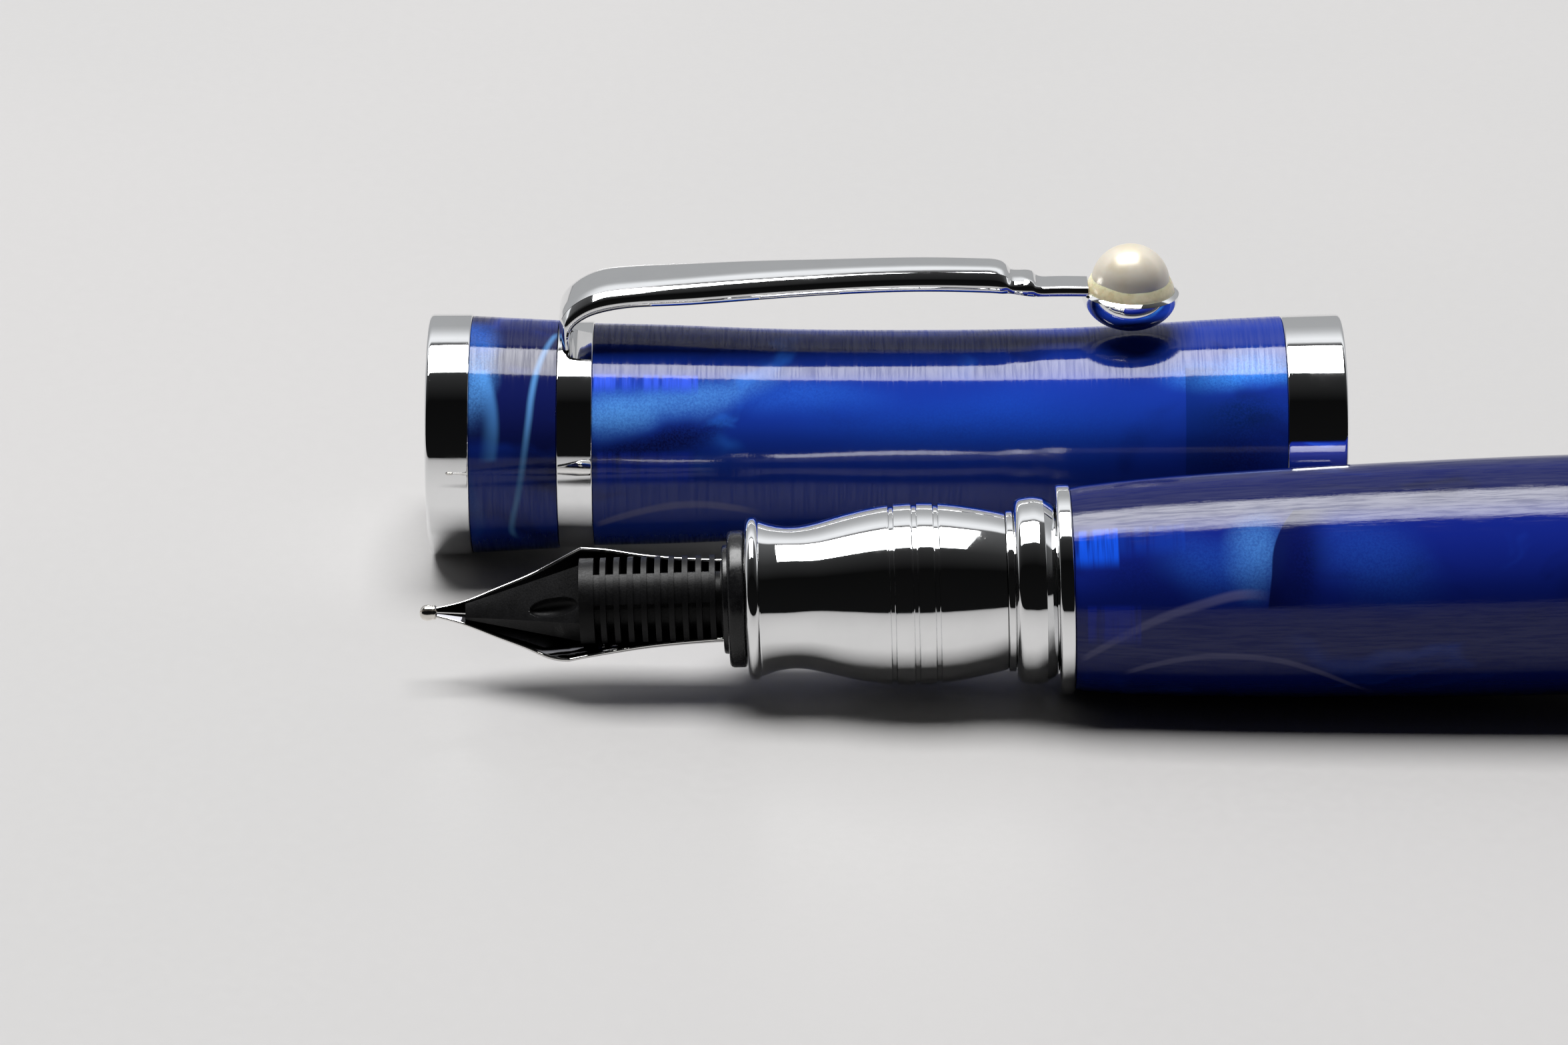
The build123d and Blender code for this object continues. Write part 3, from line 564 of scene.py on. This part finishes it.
def make_tail():
    ring = rounded([(108.6, 2.98), (112.6, 2.98), (112.6, 6.0), (114.3, 6.0), (114.3, 5.1)],
                   [0, 0, 0.3, 0.3, 0])
    neck = natural_spline([(114.35, 5.1), (115.0, 4.9), (115.7, 5.1)], 12)
    # the dome's curve is drawn past its tip and cut there, so that the tip is round
    curve = natural_spline([(115.75, 5.2), (117.0, 4.95), (118.4, 4.0), (119.5, 2.3), (120.0, 0.0),
                            (119.5, -2.3)], 60)
    dome = [(x, r) for x, r in curve if r > 0.04] + [(120.0, 0.0)]
    outline = ring + list(neck) + dome + [(108.6, 0)]
    lathe("tail_finial_cap", outline, PEN, "barrel", CHROME, "tail_finial")
    sleeve = [(107.6, 3.0), (107.6, 5.03), (112.58, 5.03), (112.58, 3.0)]
    lathe("tail_bush_sleeve", sleeve, PEN, "barrel", BRASS, "tail_bush", 96)


# ---- section -----------------------------------------------------------------------------------------------
GRIP_LINES = (28.6, 30.0, 31.3)
LINE_HALF, LINE_DEPTH, LINE_WALL = 0.17, 0.13, 0.05
BURR_AWAY, BURR_HALF, BURR_RISE = 0.03, 0.05, 0.012         # the raised edge on each side of a turned line
THREAD_START, THREAD_PITCH, THREAD_TURNS = 40.0, 0.8, 8


def make_grip():
    waist = natural_spline([(20.62, 4.76), (21.3, 4.52), (22.6, 4.34), (24.6, 4.71), (27.0, 5.27),
                            (28.5, 5.48), (30.0, 5.55), (31.4, 5.50), (32.7, 5.34), (34.0, 5.11),
                            (35.1, 4.88), (35.5, 4.78)], 420)
    lip = [(19.72 + 0.45 * (1 - cos(a)), 4.52 + 0.46 * sin(a)) for a in np.linspace(0, pi * 0.84, 16)]
    cut = []
    for x, r in waist:
        groove = max(max(0.0, min(1.0, (LINE_HALF - abs(x - line)) / LINE_WALL)) for line in GRIP_LINES)
        burr = max(max(0.0, 1 - abs(abs(x - line) - LINE_HALF - BURR_AWAY) / BURR_HALF)
                   for line in GRIP_LINES)
        cut.append((x, r - LINE_DEPTH * groove + BURR_RISE * burr))
    ring = rounded([(35.55, 4.66), (35.55, 4.93), (36.0, 4.93), (36.0, 4.42)], [0, 0.1, 0.1, 0])
    threads = []
    for k in range(THREAD_TURNS):
        x = THREAD_START + THREAD_PITCH * k
        threads += [(x + 0.2, 4.42), (x + 0.32, 4.60), (x + 0.48, 4.60), (x + 0.6, 4.42)]
    inner = [(46.5, 4.42), (46.5, 3.85), (33.0, 3.85), (33.0, 3.55), (19.72, 3.55), (19.72, 4.4)]
    lathe("grip", lip + cut + ring + threads + inner, PEN, "section", CHROME, "grip_section",
          224, sharp=24)


def make_bead():
    crown = natural_spline([(36.06, 5.34), (36.25, 5.56), (36.7, 5.68), (37.3, 5.72), (37.85, 5.62)], 30)
    cone = [(37.88, 5.59), (38.35, 5.30), (38.50, 5.14), (38.52, 4.66), (36.04, 4.66), (36.04, 5.28)]
    lathe("bead", list(crown) + cone, PEN, "section", CHROME, "bead_ring", 192, sharp=20)
    seal = rounded([(38.62, 4.46), (38.62, 4.73), (39.03, 4.73), (39.03, 4.46)], 0.15)
    lathe("seal", seal, PEN, "section", RUBBER, "section_seal", 96)


# ---- nib unit ----------------------------------------------------------------------------------------------
def make_housing():
    front = rounded([(18.3, 2.69), (18.3, 3.30), (18.62, 3.34), (18.62, 4.17), (19.66, 4.17), (19.66, 3.50)],
                    [0, 0.12, 0.02, 0.34, 0.2, 0])
    back = [(32.6, 3.5), (33.4, 3.0), (33.4, 2.1), (38.5, 2.0), (38.5, 1.2), (31.3, 1.2), (31.3, 2.69)]
    lathe("nib_collar", front + back, PEN, "nib_housing", HOUSING, "nib_housing")


NIB_THICK = 0.20
NIB_WIDEST = 8               # the row of stations where the sheet is widest, and two curves meet
# station, half width, height of the sheet's edges, height of its crown
NIB_STATIONS = [(0.62, 0.36, 0.93, 1.05), (2.42, 0.84, 1.20, 1.45), (4.02, 1.50, 1.30, 1.80),
                (5.22, 2.00, 1.32, 2.02), (6.52, 2.56, 1.22, 2.22), (7.42, 3.02, 1.02, 2.36),
                (8.20, 3.38, 0.66, 2.48), (8.90, 3.61, 0.25, 2.58), (9.25, 3.69, 0.03, 2.60),
                (11.2, 3.40, -0.27, 2.61), (13.0, 3.08, -0.25, 2.62), (15.3, 2.81, -0.15, 2.62),
                (18.0, 2.62, -0.05, 2.62), (24.0, 2.62, -0.05, 2.62)]
SLIT_HALF, HOLE_X, HOLE_R = 0.04, 11.0, 0.55
SKEW, SKEW_AT, SKEW_REACH = 0.40, 9.2, 2.4                  # how far each shoulder is out of line, and where


def nib_row(x, table):
    return [np.interp(x, table[:, 0], table[:, k]) for k in (1, 2, 3)]


def make_nib():
    """A curved sheet in two halves that meet along the crown, parted by the slit up to the breather hole. The
    two shoulders are a little out of line."""
    fore = natural_spline(NIB_STATIONS[:NIB_WIDEST + 1], 120)
    aft = natural_spline(NIB_STATIONS[NIB_WIDEST:-1], 60)
    table = np.concatenate([fore, aft[1:], NIB_STATIONS[-1:]])
    columns, rounds, half_thick = 26, 5, NIB_THICK / 2
    stations = [*np.linspace(0.62, 10.2, 130), *np.linspace(10.25, 12.0, 50), *np.linspace(12.2, 24.0, 30)]
    verts, faces = [], []
    for side in (1, -1):
        base = len(verts)
        for x in stations:
            half, edge, crown = nib_row(x + SKEW * side * exp(-((x - SKEW_AT) / SKEW_REACH) ** 2), table)
            rise = crown - edge
            radius = (half ** 2 + rise ** 2) / (2 * rise)
            wide = atan2(half, radius - rise) - half_thick / radius
            away = abs(x - HOLE_X)
            gap = sqrt(HOLE_R ** 2 - away ** 2) if away < HOLE_R else (SLIT_HALF if x < HOLE_X else 0.0)
            ring = [(radius, gap / radius * (1 - k / columns) + wide * k / columns)
                    for k in range(columns + 1)]
            for k in range(1, rounds):
                turn = pi * k / rounds
                ring.append((radius - half_thick * (1 - cos(turn)), wide + half_thick * sin(turn) / radius))
            ring += [(radius - NIB_THICK, angle) for _, angle in ring[columns::-1]]
            verts += [(x, side * r * sin(angle), crown - radius + r * cos(angle)) for r, angle in ring]
        join_rings(faces, len(stations), len(ring), base, side == 1)
    made = piece("nib", verts, faces, NIB, "nib", NIB_STEEL, "nib_blade", 45)
    # painted shade on each ring's underside but for the edge
    painted_shade_rows = [0.0] * (columns + rounds + 1) + [1.0] * columns
    painted_shade = made.data.attributes.new("painted_shade", "FLOAT", "POINT")
    painted_shade.data.foreach_set("value", painted_shade_rows * (len(verts) // len(painted_shade_rows)))


def make_tipping():
    """A pellet in two halves, one on each tine, with a short collar where it is welded on."""
    start, gap_half, height, arc = -0.27, 0.03, 0.90, 24
    outline = [(0.0, 0.05), (0.03, 0.18), (0.12, 0.33), (0.28, 0.44), (0.48, 0.47), (0.66, 0.44),
               (0.78, 0.40), (0.83, 0.42), (0.95, 0.41), (1.02, 0.34), (1.06, 0.2)]
    verts, faces = [], []
    for side in (1, -1):
        base = len(verts)
        for x, r in outline:
            for k in range(arc + 1):
                angle = pi * k / arc
                verts.append((start + x, side * (gap_half + r * sin(angle)), height + r * cos(angle)))
        join_rings(faces, len(outline), arc + 1, base, side == 1)
    piece("tipping", verts, faces, NIB, "nib", PELLET, "nib_tipping", 50)


def slab(outline, x0, x1, verts, faces):
    """Adds a prism of a closed (y, z) outline between two stations."""
    base = len(verts)
    verts += [(x, y, z) for x in (x0, x1) for y, z in outline]
    join_rings(faces, 2, len(outline), base, True)


def arc_points(radius, start, end, count):
    return [(radius * sin(radians(a)), radius * cos(radians(a))) for a in np.linspace(start, end, count)]


FEED_R, FIN_R, CORE_R = 2.34, 2.75, 1.75      # under the nib, on the open side, and between the fins
FIRST_FIN, FIN_PITCH, FIN_THICK, FINS = 10.9, 0.83, 0.34, 9


def open_disc():
    """Outline of a disc of one radius where the nib wraps it and a larger one on its open side."""
    return arc_points(FEED_R, -97, 97, 36) + arc_points(FIN_R, 99, 261, 64)


def make_feed():
    """Plain band, and fins with a spine along them on a thinner core. The feed's open side looks away from
    the nib, towards -Z of the nib's own frame."""
    verts, faces = [], []
    slab(arc_points(CORE_R, -178, 178, 40), 10.3, 30.9, verts, faces)
    slab(open_disc(), 9.62, 10.5, verts, faces)
    for k in range(FINS):
        x = FIRST_FIN + FIN_PITCH * k
        slab(open_disc(), x, x + FIN_THICK, verts, faces)
    slab(arc_points(2.60, 158, 202, 16) + arc_points(1.6, 215, 145, 8), 10.3, 17.88, verts, faces)
    slab(arc_points(FEED_R, -178, 178, 40), 18.2, 30.9, verts, faces)
    piece("feed", verts, faces, NIB, "nib", FEED, "nib_feed", 30)
    make_wedge()


SCOOP_X, SCOOP_SIDE, SCOOP_HALF, SCOOP_WIDE, SCOOP_DEEP = 8.05, 0.60, 1.5, 0.60, 0.62


def make_wedge():
    """The feed's nose as rings from its front to the band: a flat bottom with a scooped hollow, and flanks."""
    verts, faces = [], []
    length, across = 80, 56
    x0, x1 = 2.54, 9.68
    for i in range(length + 1):
        t = i / length
        x = x0 + (x1 - x0) * t
        half = 0.45 + (1.88 - 0.45) * t ** 1.05
        bottom = 0.72 + (-1.75 - 0.72) * t ** 0.98
        middle, middle_half = 0.95 + (0.0 - 0.95) * t, 0.50 + (2.45 - 0.50) * t ** 1.02
        top, top_half = 1.12 + (1.60 - 1.12) * t, 0.40 + (1.80 - 0.40) * t
        for k in range(across + 1):
            y = half * (2 * k / across - 1)
            bowl = max(0.0, 1 - ((x - SCOOP_X) / SCOOP_HALF) ** 2 - ((y - SCOOP_SIDE) / SCOOP_WIDE) ** 2)
            verts.append((x, y, bottom - 0.05 * (1 - (y / half) ** 2) + SCOOP_DEEP * sqrt(bowl)))
        verts += [(x, middle_half, middle), (x, top_half, top)]
        verts += [(x, -top_half, top), (x, -middle_half, middle)]
    join_rings(faces, length + 1, across + 5)
    piece("feed_nose", verts, faces, NIB, "nib", FEED, None, 28)


# ---- converter ---------------------------------------------------------------------------------------------
FLUTES, FLUTE_DEPTH = 16, 0.16
ROD_HALF, ROD_CORNER, ROD_CREST, ROD_LEAD = 1.1, 1.38, 0.12, 2.0


def make_converter():
    tube = [(34.6, 2.13), (34.6, 3.35), (80.0, 3.35), (80.0, 2.62), (39.7, 2.62), (38.9, 2.13)]
    lathe("ink_tube", tube, PEN, "converter", CLEAR, "converter_tube", 96)
    collar = rounded([(69.5, 3.38), (69.5, 3.65), (70.7, 3.65), (70.75, 3.57), (71.0, 3.57), (71.05, 3.65),
                      (80.0, 3.65), (80.0, 3.38)], 0.06)
    lathe("collar", collar, PEN, "converter", STEEL, "converter_collar", 96)
    guide = rounded([(76.0, 1.15), (76.0, 2.57), (80.0, 2.57), (80.0, 1.15)], 0.1)
    lathe("rod_guide", guide, PEN, "converter", ROD, "converter_guide", 64)

    def flutes(x, r, angle):
        fluted = r > 3.2 and 81.5 < x < 99.0
        return -FLUTE_DEPTH * max(0.0, cos(FLUTES * angle)) ** 2 if fluted else 0.0

    outline = [(80.3, 1.75), (80.3, 3.0), (81.1, 3.0), (81.1, 3.36), (81.4, 3.4)]
    outline += [(x, 3.4) for x in np.linspace(81.6, 98.9, 30)]
    outline += [(99.4, 3.38), (99.8, 3.2), (100.0, 2.8), (100.0, 0), (98.8, 0), (98.8, 1.75)]
    lathe("fill_knob", outline, PEN, "knob", HOUSING, "converter_knob", 192, wobble=flutes)
    lips = [(41.0, 0), (41.0, 2.27), (41.3, 2.56), (42.1, 2.56), (42.4, 2.22), (43.6, 2.22), (43.9, 2.56),
            (45.0, 2.56), (45.0, 0)]
    lathe("piston", lips, PEN, "piston", RUBBER, "piston_seal", 96)
    make_screw()


def make_screw():
    """The piston's rod: a square bar whose corners carry a coarse thread."""
    verts, faces = [], []
    turns, stations = 32, 400
    for x in np.linspace(45.0, 83.0, stations + 1):
        for k in range(turns):
            angle = 2 * pi * k / turns
            square = ROD_HALF / max(abs(cos(angle)), abs(sin(angle)))
            thread = ROD_CORNER + ROD_CREST * cos(angle - 2 * pi * x / ROD_LEAD)
            radius = min(square, thread)
            verts.append((x, radius * sin(angle), radius * cos(angle)))
    join_rings(faces, stations + 1, turns, flipped=True)
    piece("screw_rod", verts, faces, PEN, "piston", ROD, "piston_rod", 40)


# ---- cap ---------------------------------------------------------------------------------------------------
def make_cap():
    end = rounded([(-0.6, 0), (-0.6, 7.7), (2.15, 7.7), (2.15, 2.4)], [0, 0.32, 0.12, 0])
    stud = [(13.5, 2.4), (13.5, 0)]
    lathe("cap_end_ring", end + stud, CAP, "cap", CHROME, "cap_finial", 192)
    top = natural_spline([(2.17, 7.57), (4.9, 7.43), (7.63, 7.29)], 20)
    lathe("cap_top", list(top) + [(7.63, 2.8), (2.17, 2.8)], CAP, "cap", TOP_ACRYLIC, "cap_top_shell",
          192)
    ring = rounded([(7.65, 2.42), (7.65, 7.25), (9.9, 7.25), (9.9, 2.42)], [0, 0.10, 0.10, 0])
    lathe("clip_band", ring, CAP, "cap", CHROME, "clip_ring", 192)
    waist = natural_spline([(9.92, 7.10), (14.6, 7.00), (20.5, 6.78), (27.0, 6.68), (33.5, 6.69),
                            (39.9, 6.81), (44.5, 7.03), (48.3, 7.28), (53.63, 7.55)], 110)
    bore = [(53.63, 6.12), (47.1, 6.12), (47.1, 5.5), (9.92, 5.5)]
    lathe("cap_tube", list(waist) + bore, CAP, "cap", CAP_ACRYLIC, "cap_shell", 192)
    lip = rounded([(53.65, 6.37), (53.65, 7.50), (53.75, 7.58), (57.45, 7.70), (57.45, 6.37)],
                  [0, 0.06, 0.1, 0.28, 0])
    lathe("cap_lip", lip, CAP, "cap", CHROME, "cap_lip_ring", 192)
    liner = rounded([(54.7, 5.8), (54.7, 6.35), (57.2, 6.35), (57.2, 6.0), (57.0, 5.8)], 0.05)
    lathe("cap_grip_liner", liner, CAP, "cap", HOUSING, "cap_liner", 128)
    near_end = [(9.92, 2.42), (9.92, 5.46), (17.2, 5.46), (17.2, 2.42)]
    lathe("top_insert", near_end, CAP, "cap", BRASS, "cap_top_insert", 96)
    near_lip = [(47.15, 5.62), (47.15, 6.08), (54.65, 6.08), (54.65, 5.62)]
    lathe("lip_insert", near_lip, CAP, "cap", BRASS, "cap_lip_insert", 128)


# ---- clip --------------------------------------------------------------------------------------------------
CUP_PLACE = CAP @ Matrix.Translation(Vector((43.9, 0, 9.80)) * MM) @ Matrix.Rotation(radians(1.5), 4, "Y")
# outer point, inner point, half width: from the tab in the clip band, round the bend and along the arm
ARM = [(7.75, 6.9, 8.4, 6.9, 2.78), (7.75, 7.5, 8.4, 7.35, 2.78), (7.75, 8.1, 8.42, 7.75, 2.78),
       (7.78, 8.7, 8.55, 8.15, 2.78), (8.05, 9.25, 8.8, 8.5, 2.78), (8.75, 9.95, 9.25, 8.85, 2.77),
       (9.63, 10.47, 9.75, 9.13, 2.76), (11.55, 10.92, 11.6, 9.6, 2.7), (14.75, 11.15, 14.75, 9.77, 2.57),
       (19.0, 11.44, 19.0, 10.0, 2.4), (25.4, 11.73, 25.4, 10.34, 2.05), (31.8, 11.86, 31.8, 10.48, 1.92),
       (35.0, 11.79, 35.0, 10.38, 1.87)]
# down the step and along the neck
STEP = [(35.4, 11.75, 35.4, 10.35, 1.86), (35.85, 11.60, 35.8, 10.30, 1.80),
        (36.15, 11.34, 36.1, 10.26, 1.66), (36.35, 11.12, 36.35, 10.21, 1.56),
        (36.9, 11.06, 36.8, 10.13, 1.52), (37.4, 11.0, 37.3, 10.03, 1.48), (37.75, 10.84, 37.7, 9.96, 1.38),
        (37.98, 10.6, 38.0, 9.92, 1.28), (38.3, 10.5, 38.3, 9.9, 1.22), (38.8, 10.5, 38.8, 9.9, 1.2),
        (41.2, 10.5, 41.2, 9.9, 1.2)]
# half sections as (share of half width, share of thickness), from the middle of the top to the middle
# underneath: a flat top, two bevels parted by a crease, and a rounded side
ROOT_SECTION = [(0.0, 1.0), (0.36, 0.998), (0.46, 0.985), (0.58, 0.945), (0.735, 0.84), (0.742, 0.815),
                (0.752, 0.828), (0.90, 0.64), (0.955, 0.53), (0.985, 0.40), (1.0, 0.25), (0.985, 0.09),
                (0.94, 0.0), (0.0, 0.0)]
ARM_SECTION = [(0.0, 1.0), (0.20, 0.998), (0.34, 0.985), (0.48, 0.945), (0.69, 0.835), (0.70, 0.805),
               (0.712, 0.822), (0.89, 0.63), (0.95, 0.52), (0.985, 0.40), (1.0, 0.25), (0.98, 0.09),
               (0.92, 0.0), (0.0, 0.0)]
NECK_SECTION = [(0.0, 1.0), (0.4, 1.0), (0.7, 0.995), (0.76, 0.98), (0.80, 0.95), (0.83, 0.92),
                (0.87, 0.86), (0.91, 0.77), (0.95, 0.64), (0.985, 0.45), (1.0, 0.28), (0.985, 0.1),
                (0.93, 0.0), (0.0, 0.0)]

ROOT_END, ROOT_FADE = 14.0, 10.0              # the root's section starts to change here, over this length
NECK_START, NECK_FADE = 37.0, 1.0


def make_clip_arm():
    path = np.concatenate([natural_spline(ARM, 170), natural_spline(STEP, 90)])
    root, mid, neck = (np.array(half) for half in (ROOT_SECTION, ARM_SECTION, NECK_SECTION))
    verts, faces = [], []
    for outer_x, outer_z, inner_x, inner_z, half in path:
        out = min(1.0, max(0.0, (outer_x - ROOT_END) / ROOT_FADE))
        thin = min(1.0, max(0.0, (outer_x - NECK_START) / NECK_FADE))
        section = (root * (1 - out) + mid * out) * (1 - thin) + neck * thin
        mirrored = section[-2:0:-1] * (-1, 1)
        for share, up in (*section, *mirrored):
            x, z = inner_x + (outer_x - inner_x) * up, inner_z + (outer_z - inner_z) * up
            verts.append((x, half * share, z))
    join_rings(faces, len(path), len(verts) // len(path), flipped=True)
    piece("clip", verts, faces, CAP, "clip", CHROME_SOFT, "clip_arm", 34)


def bowl_outline(outer, depth, wall):
    """Half section of a cup as (radius, height) points, from the bottom outside to the bottom inside."""
    inner = outer - wall
    out = [(outer * sin(a), -depth * cos(a)) for a in np.linspace(0, pi / 2, 40)]
    lip = [(outer, 0.03), (outer - 0.04, 0.07), (inner + 0.03, 0.20), (inner, 0.19), (inner, 0.05)]
    back = [(inner * sin(a), (wall - depth) * cos(a)) for a in np.linspace(pi / 2, 0, 30)]
    return out + lip + back


PEARL_R, PEARL_UP = 2.5, 0.6                  # the pearl's radius, and its middle above the cup's rim
CEMENT_RIM = 2.4                              # the cement is smooth inside this radius


def make_pearl_end():
    bowl = bowl_outline(3.1, 2.4, 0.3)
    spun("pearl_holder", bowl, CUP_PLACE, "clip", CHROME_SOFT, "pearl_cup")

    def heap(r, z, angle):
        """The cement's collar is uneven: higher at the neck's side and away from it, and lumpy."""
        share = max(0.0, min(1.0, (z + 0.1) / 0.5)) if r > CEMENT_RIM else 0.0
        lumps = noise.noise(Vector((2 * cos(angle), 2 * sin(angle), r)))
        return share * (0.16 * cos(angle) ** 2 - 0.06 + 0.07 * lumps)

    collar = [(2.79, 0.02), (2.80, 0.10), (2.79, 0.22), (2.74, 0.38), (2.67, 0.54), (2.60, 0.68),
              (2.54, 0.80), (2.48, 0.88)]
    under = [(2.3, 0.6), (1.9, -1.0), (1.0, -1.6), (0.0, -1.8)]
    skin = [(2.78 * sin(a), -2.08 * cos(a)) for a in np.linspace(0, pi / 2 - 0.02, 24)]
    heaped = skin + collar + under
    spun("cement_bed", heaped, CUP_PLACE, "clip", CEMENT, "pearl_bed", 96, 60, heap)

    def bumps(r, z, angle):
        return 0.003 * noise.noise(Vector((r * cos(angle), r * sin(angle), z)) * 0.9)

    ball = [(PEARL_R * sin(a), PEARL_UP - PEARL_R * cos(a)) for a in np.linspace(0, pi, 72)]
    spun("pearl_bead", ball, CUP_PLACE, "clip", PEARL, "pearl", 128, 60, bumps)


for make in (make_barrel, make_coupler, make_tail, make_grip, make_bead, make_housing, make_nib, make_tipping,
             make_feed, make_converter, make_cap, make_clip_arm, make_pearl_end):
    make()


# ---- table, light and camera -------------------------------------------------------------------------------
TABLE_HALF = 3.0


def make_table():
    mesh = bpy.data.meshes.new("table")
    corners = [(TABLE_HALF * x, TABLE_HALF * y, 0) for x, y in ((-1, -1), (1, -1), (1, 1), (-1, 1))]
    mesh.from_pydata(corners, [], [(0, 1, 2, 3)])
    turned = mesh.attributes.new("turned", "FLOAT_VECTOR", "POINT")
    turned.data.foreach_set("vector", [c / MM for vertex in mesh.vertices for c in vertex.co])
    table = bpy.data.objects.new("table", mesh)
    bpy.context.scene.collection.objects.link(table)
    s = Shader("table_top")
    mottle = s.noise(s.mm, 0.01, 3, 0.5)
    grain = s.noise(s.mm, 1.2, 3, 0.6)
    shade = s.mix(s.remap(mottle, 0.35, 0.65), (0.36, 0.355, 0.352), (0.37, 0.363, 0.36))
    mesh.materials.append(s.set(Base_Color=shade, Roughness=s.remap(grain, 0.3, 0.7, 0.36, 0.44),
                                Specular_IOR_Level=0.3, Normal=s.bump(grain, 0.08, 0.02)))


# brightness of the room by angle in degrees, from the rear horizon over the top to the front one
ROOM = [(0, 0.40), (30, 0.43), (36, 0.50), (41, 0.62), (46, 0.80), (52, 1.0), (57, 0.95), (60, 0.12),
        (100, 0.03), (125, 0.004), (180, 0.006)]
PANEL_SIZE = (0.83, 0.61)
PANEL_PLACE = (-0.10, 0.222, 1.0)             # from the nib's tip
PANEL_POWER = 14.5                            # per unit of its area and of pi


def make_light():
    """A wide soft panel overhead and a little behind, a dark room in front and a grey one behind."""
    lamp = bpy.data.lights.new("panel", "AREA")
    lamp.shape = "RECTANGLE"
    lamp.size, lamp.size_y = PANEL_SIZE
    lamp.energy = PANEL_POWER * pi * lamp.size * lamp.size_y
    panel = bpy.data.objects.new("panel", lamp)
    panel.location = nib_tip + Vector(PANEL_PLACE)
    bpy.context.scene.collection.objects.link(panel)
    world = bpy.data.worlds.new("room")
    bpy.context.scene.world = world
    world.use_nodes = True
    tree = world.node_tree
    coords = tree.nodes.new("ShaderNodeTexCoord")
    split = tree.nodes.new("ShaderNodeSeparateXYZ")
    tree.links.new(coords.outputs["Generated"], split.inputs[0])
    height = tree.nodes.new("ShaderNodeMath")
    height.operation = "ARCTAN2"
    tree.links.new(split.outputs[2], height.inputs[0])
    tree.links.new(split.outputs[1], height.inputs[1])
    share = tree.nodes.new("ShaderNodeMath")
    share.operation = "DIVIDE"
    share.inputs[1].default_value = pi
    tree.links.new(height.outputs[0], share.inputs[0])
    ramp = tree.nodes.new("ShaderNodeValToRGB")
    tree.links.new(share.outputs[0], ramp.inputs[0])
    elements = ramp.color_ramp.elements
    for k, (angle, grey) in enumerate(ROOM):
        element = elements[k] if k < 2 else elements.new(1.0)              # a new ramp has two already
        element.position = angle / 180.0
        element.color = (grey * 0.985, grey, grey * 1.02, 1)
    tree.links.new(ramp.outputs[0], tree.nodes["Background"].inputs["Color"])


# metres from the pen to the lens, its angle above the table, and the point looked at: a station along the
# pen, and millimetres above it in the picture
DISTANCE, RISE, LOOK_STATION, LOOK_ABOVE = 0.370, radians(23.6), 22.0, 4.57
FOCAL_MM, SENSOR_MM = 139.6, 36.0


def make_camera():
    """Long lens from the front, 24 degrees above the table."""
    back = Vector((0, -cos(RISE), sin(RISE)))
    up = Vector((0, sin(RISE), cos(RISE)))
    target = PEN @ (Vector((LOOK_STATION, 0, 0)) * MM) + up * LOOK_ABOVE * MM
    lens = bpy.data.cameras.new("camera")
    lens.sensor_width, lens.lens = SENSOR_MM, FOCAL_MM
    lens.clip_start, lens.clip_end = 0.02, 20
    camera = bpy.data.objects.new("camera", lens)
    camera.location = target + back * DISTANCE
    camera.rotation_mode = "QUATERNION"
    camera.rotation_quaternion = (-back).to_track_quat("-Z", "Y")
    bpy.context.scene.collection.objects.link(camera)
    bpy.context.scene.camera = camera


make_table()
make_light()
make_camera()
bpy.context.scene.view_settings.view_transform = "Standard"
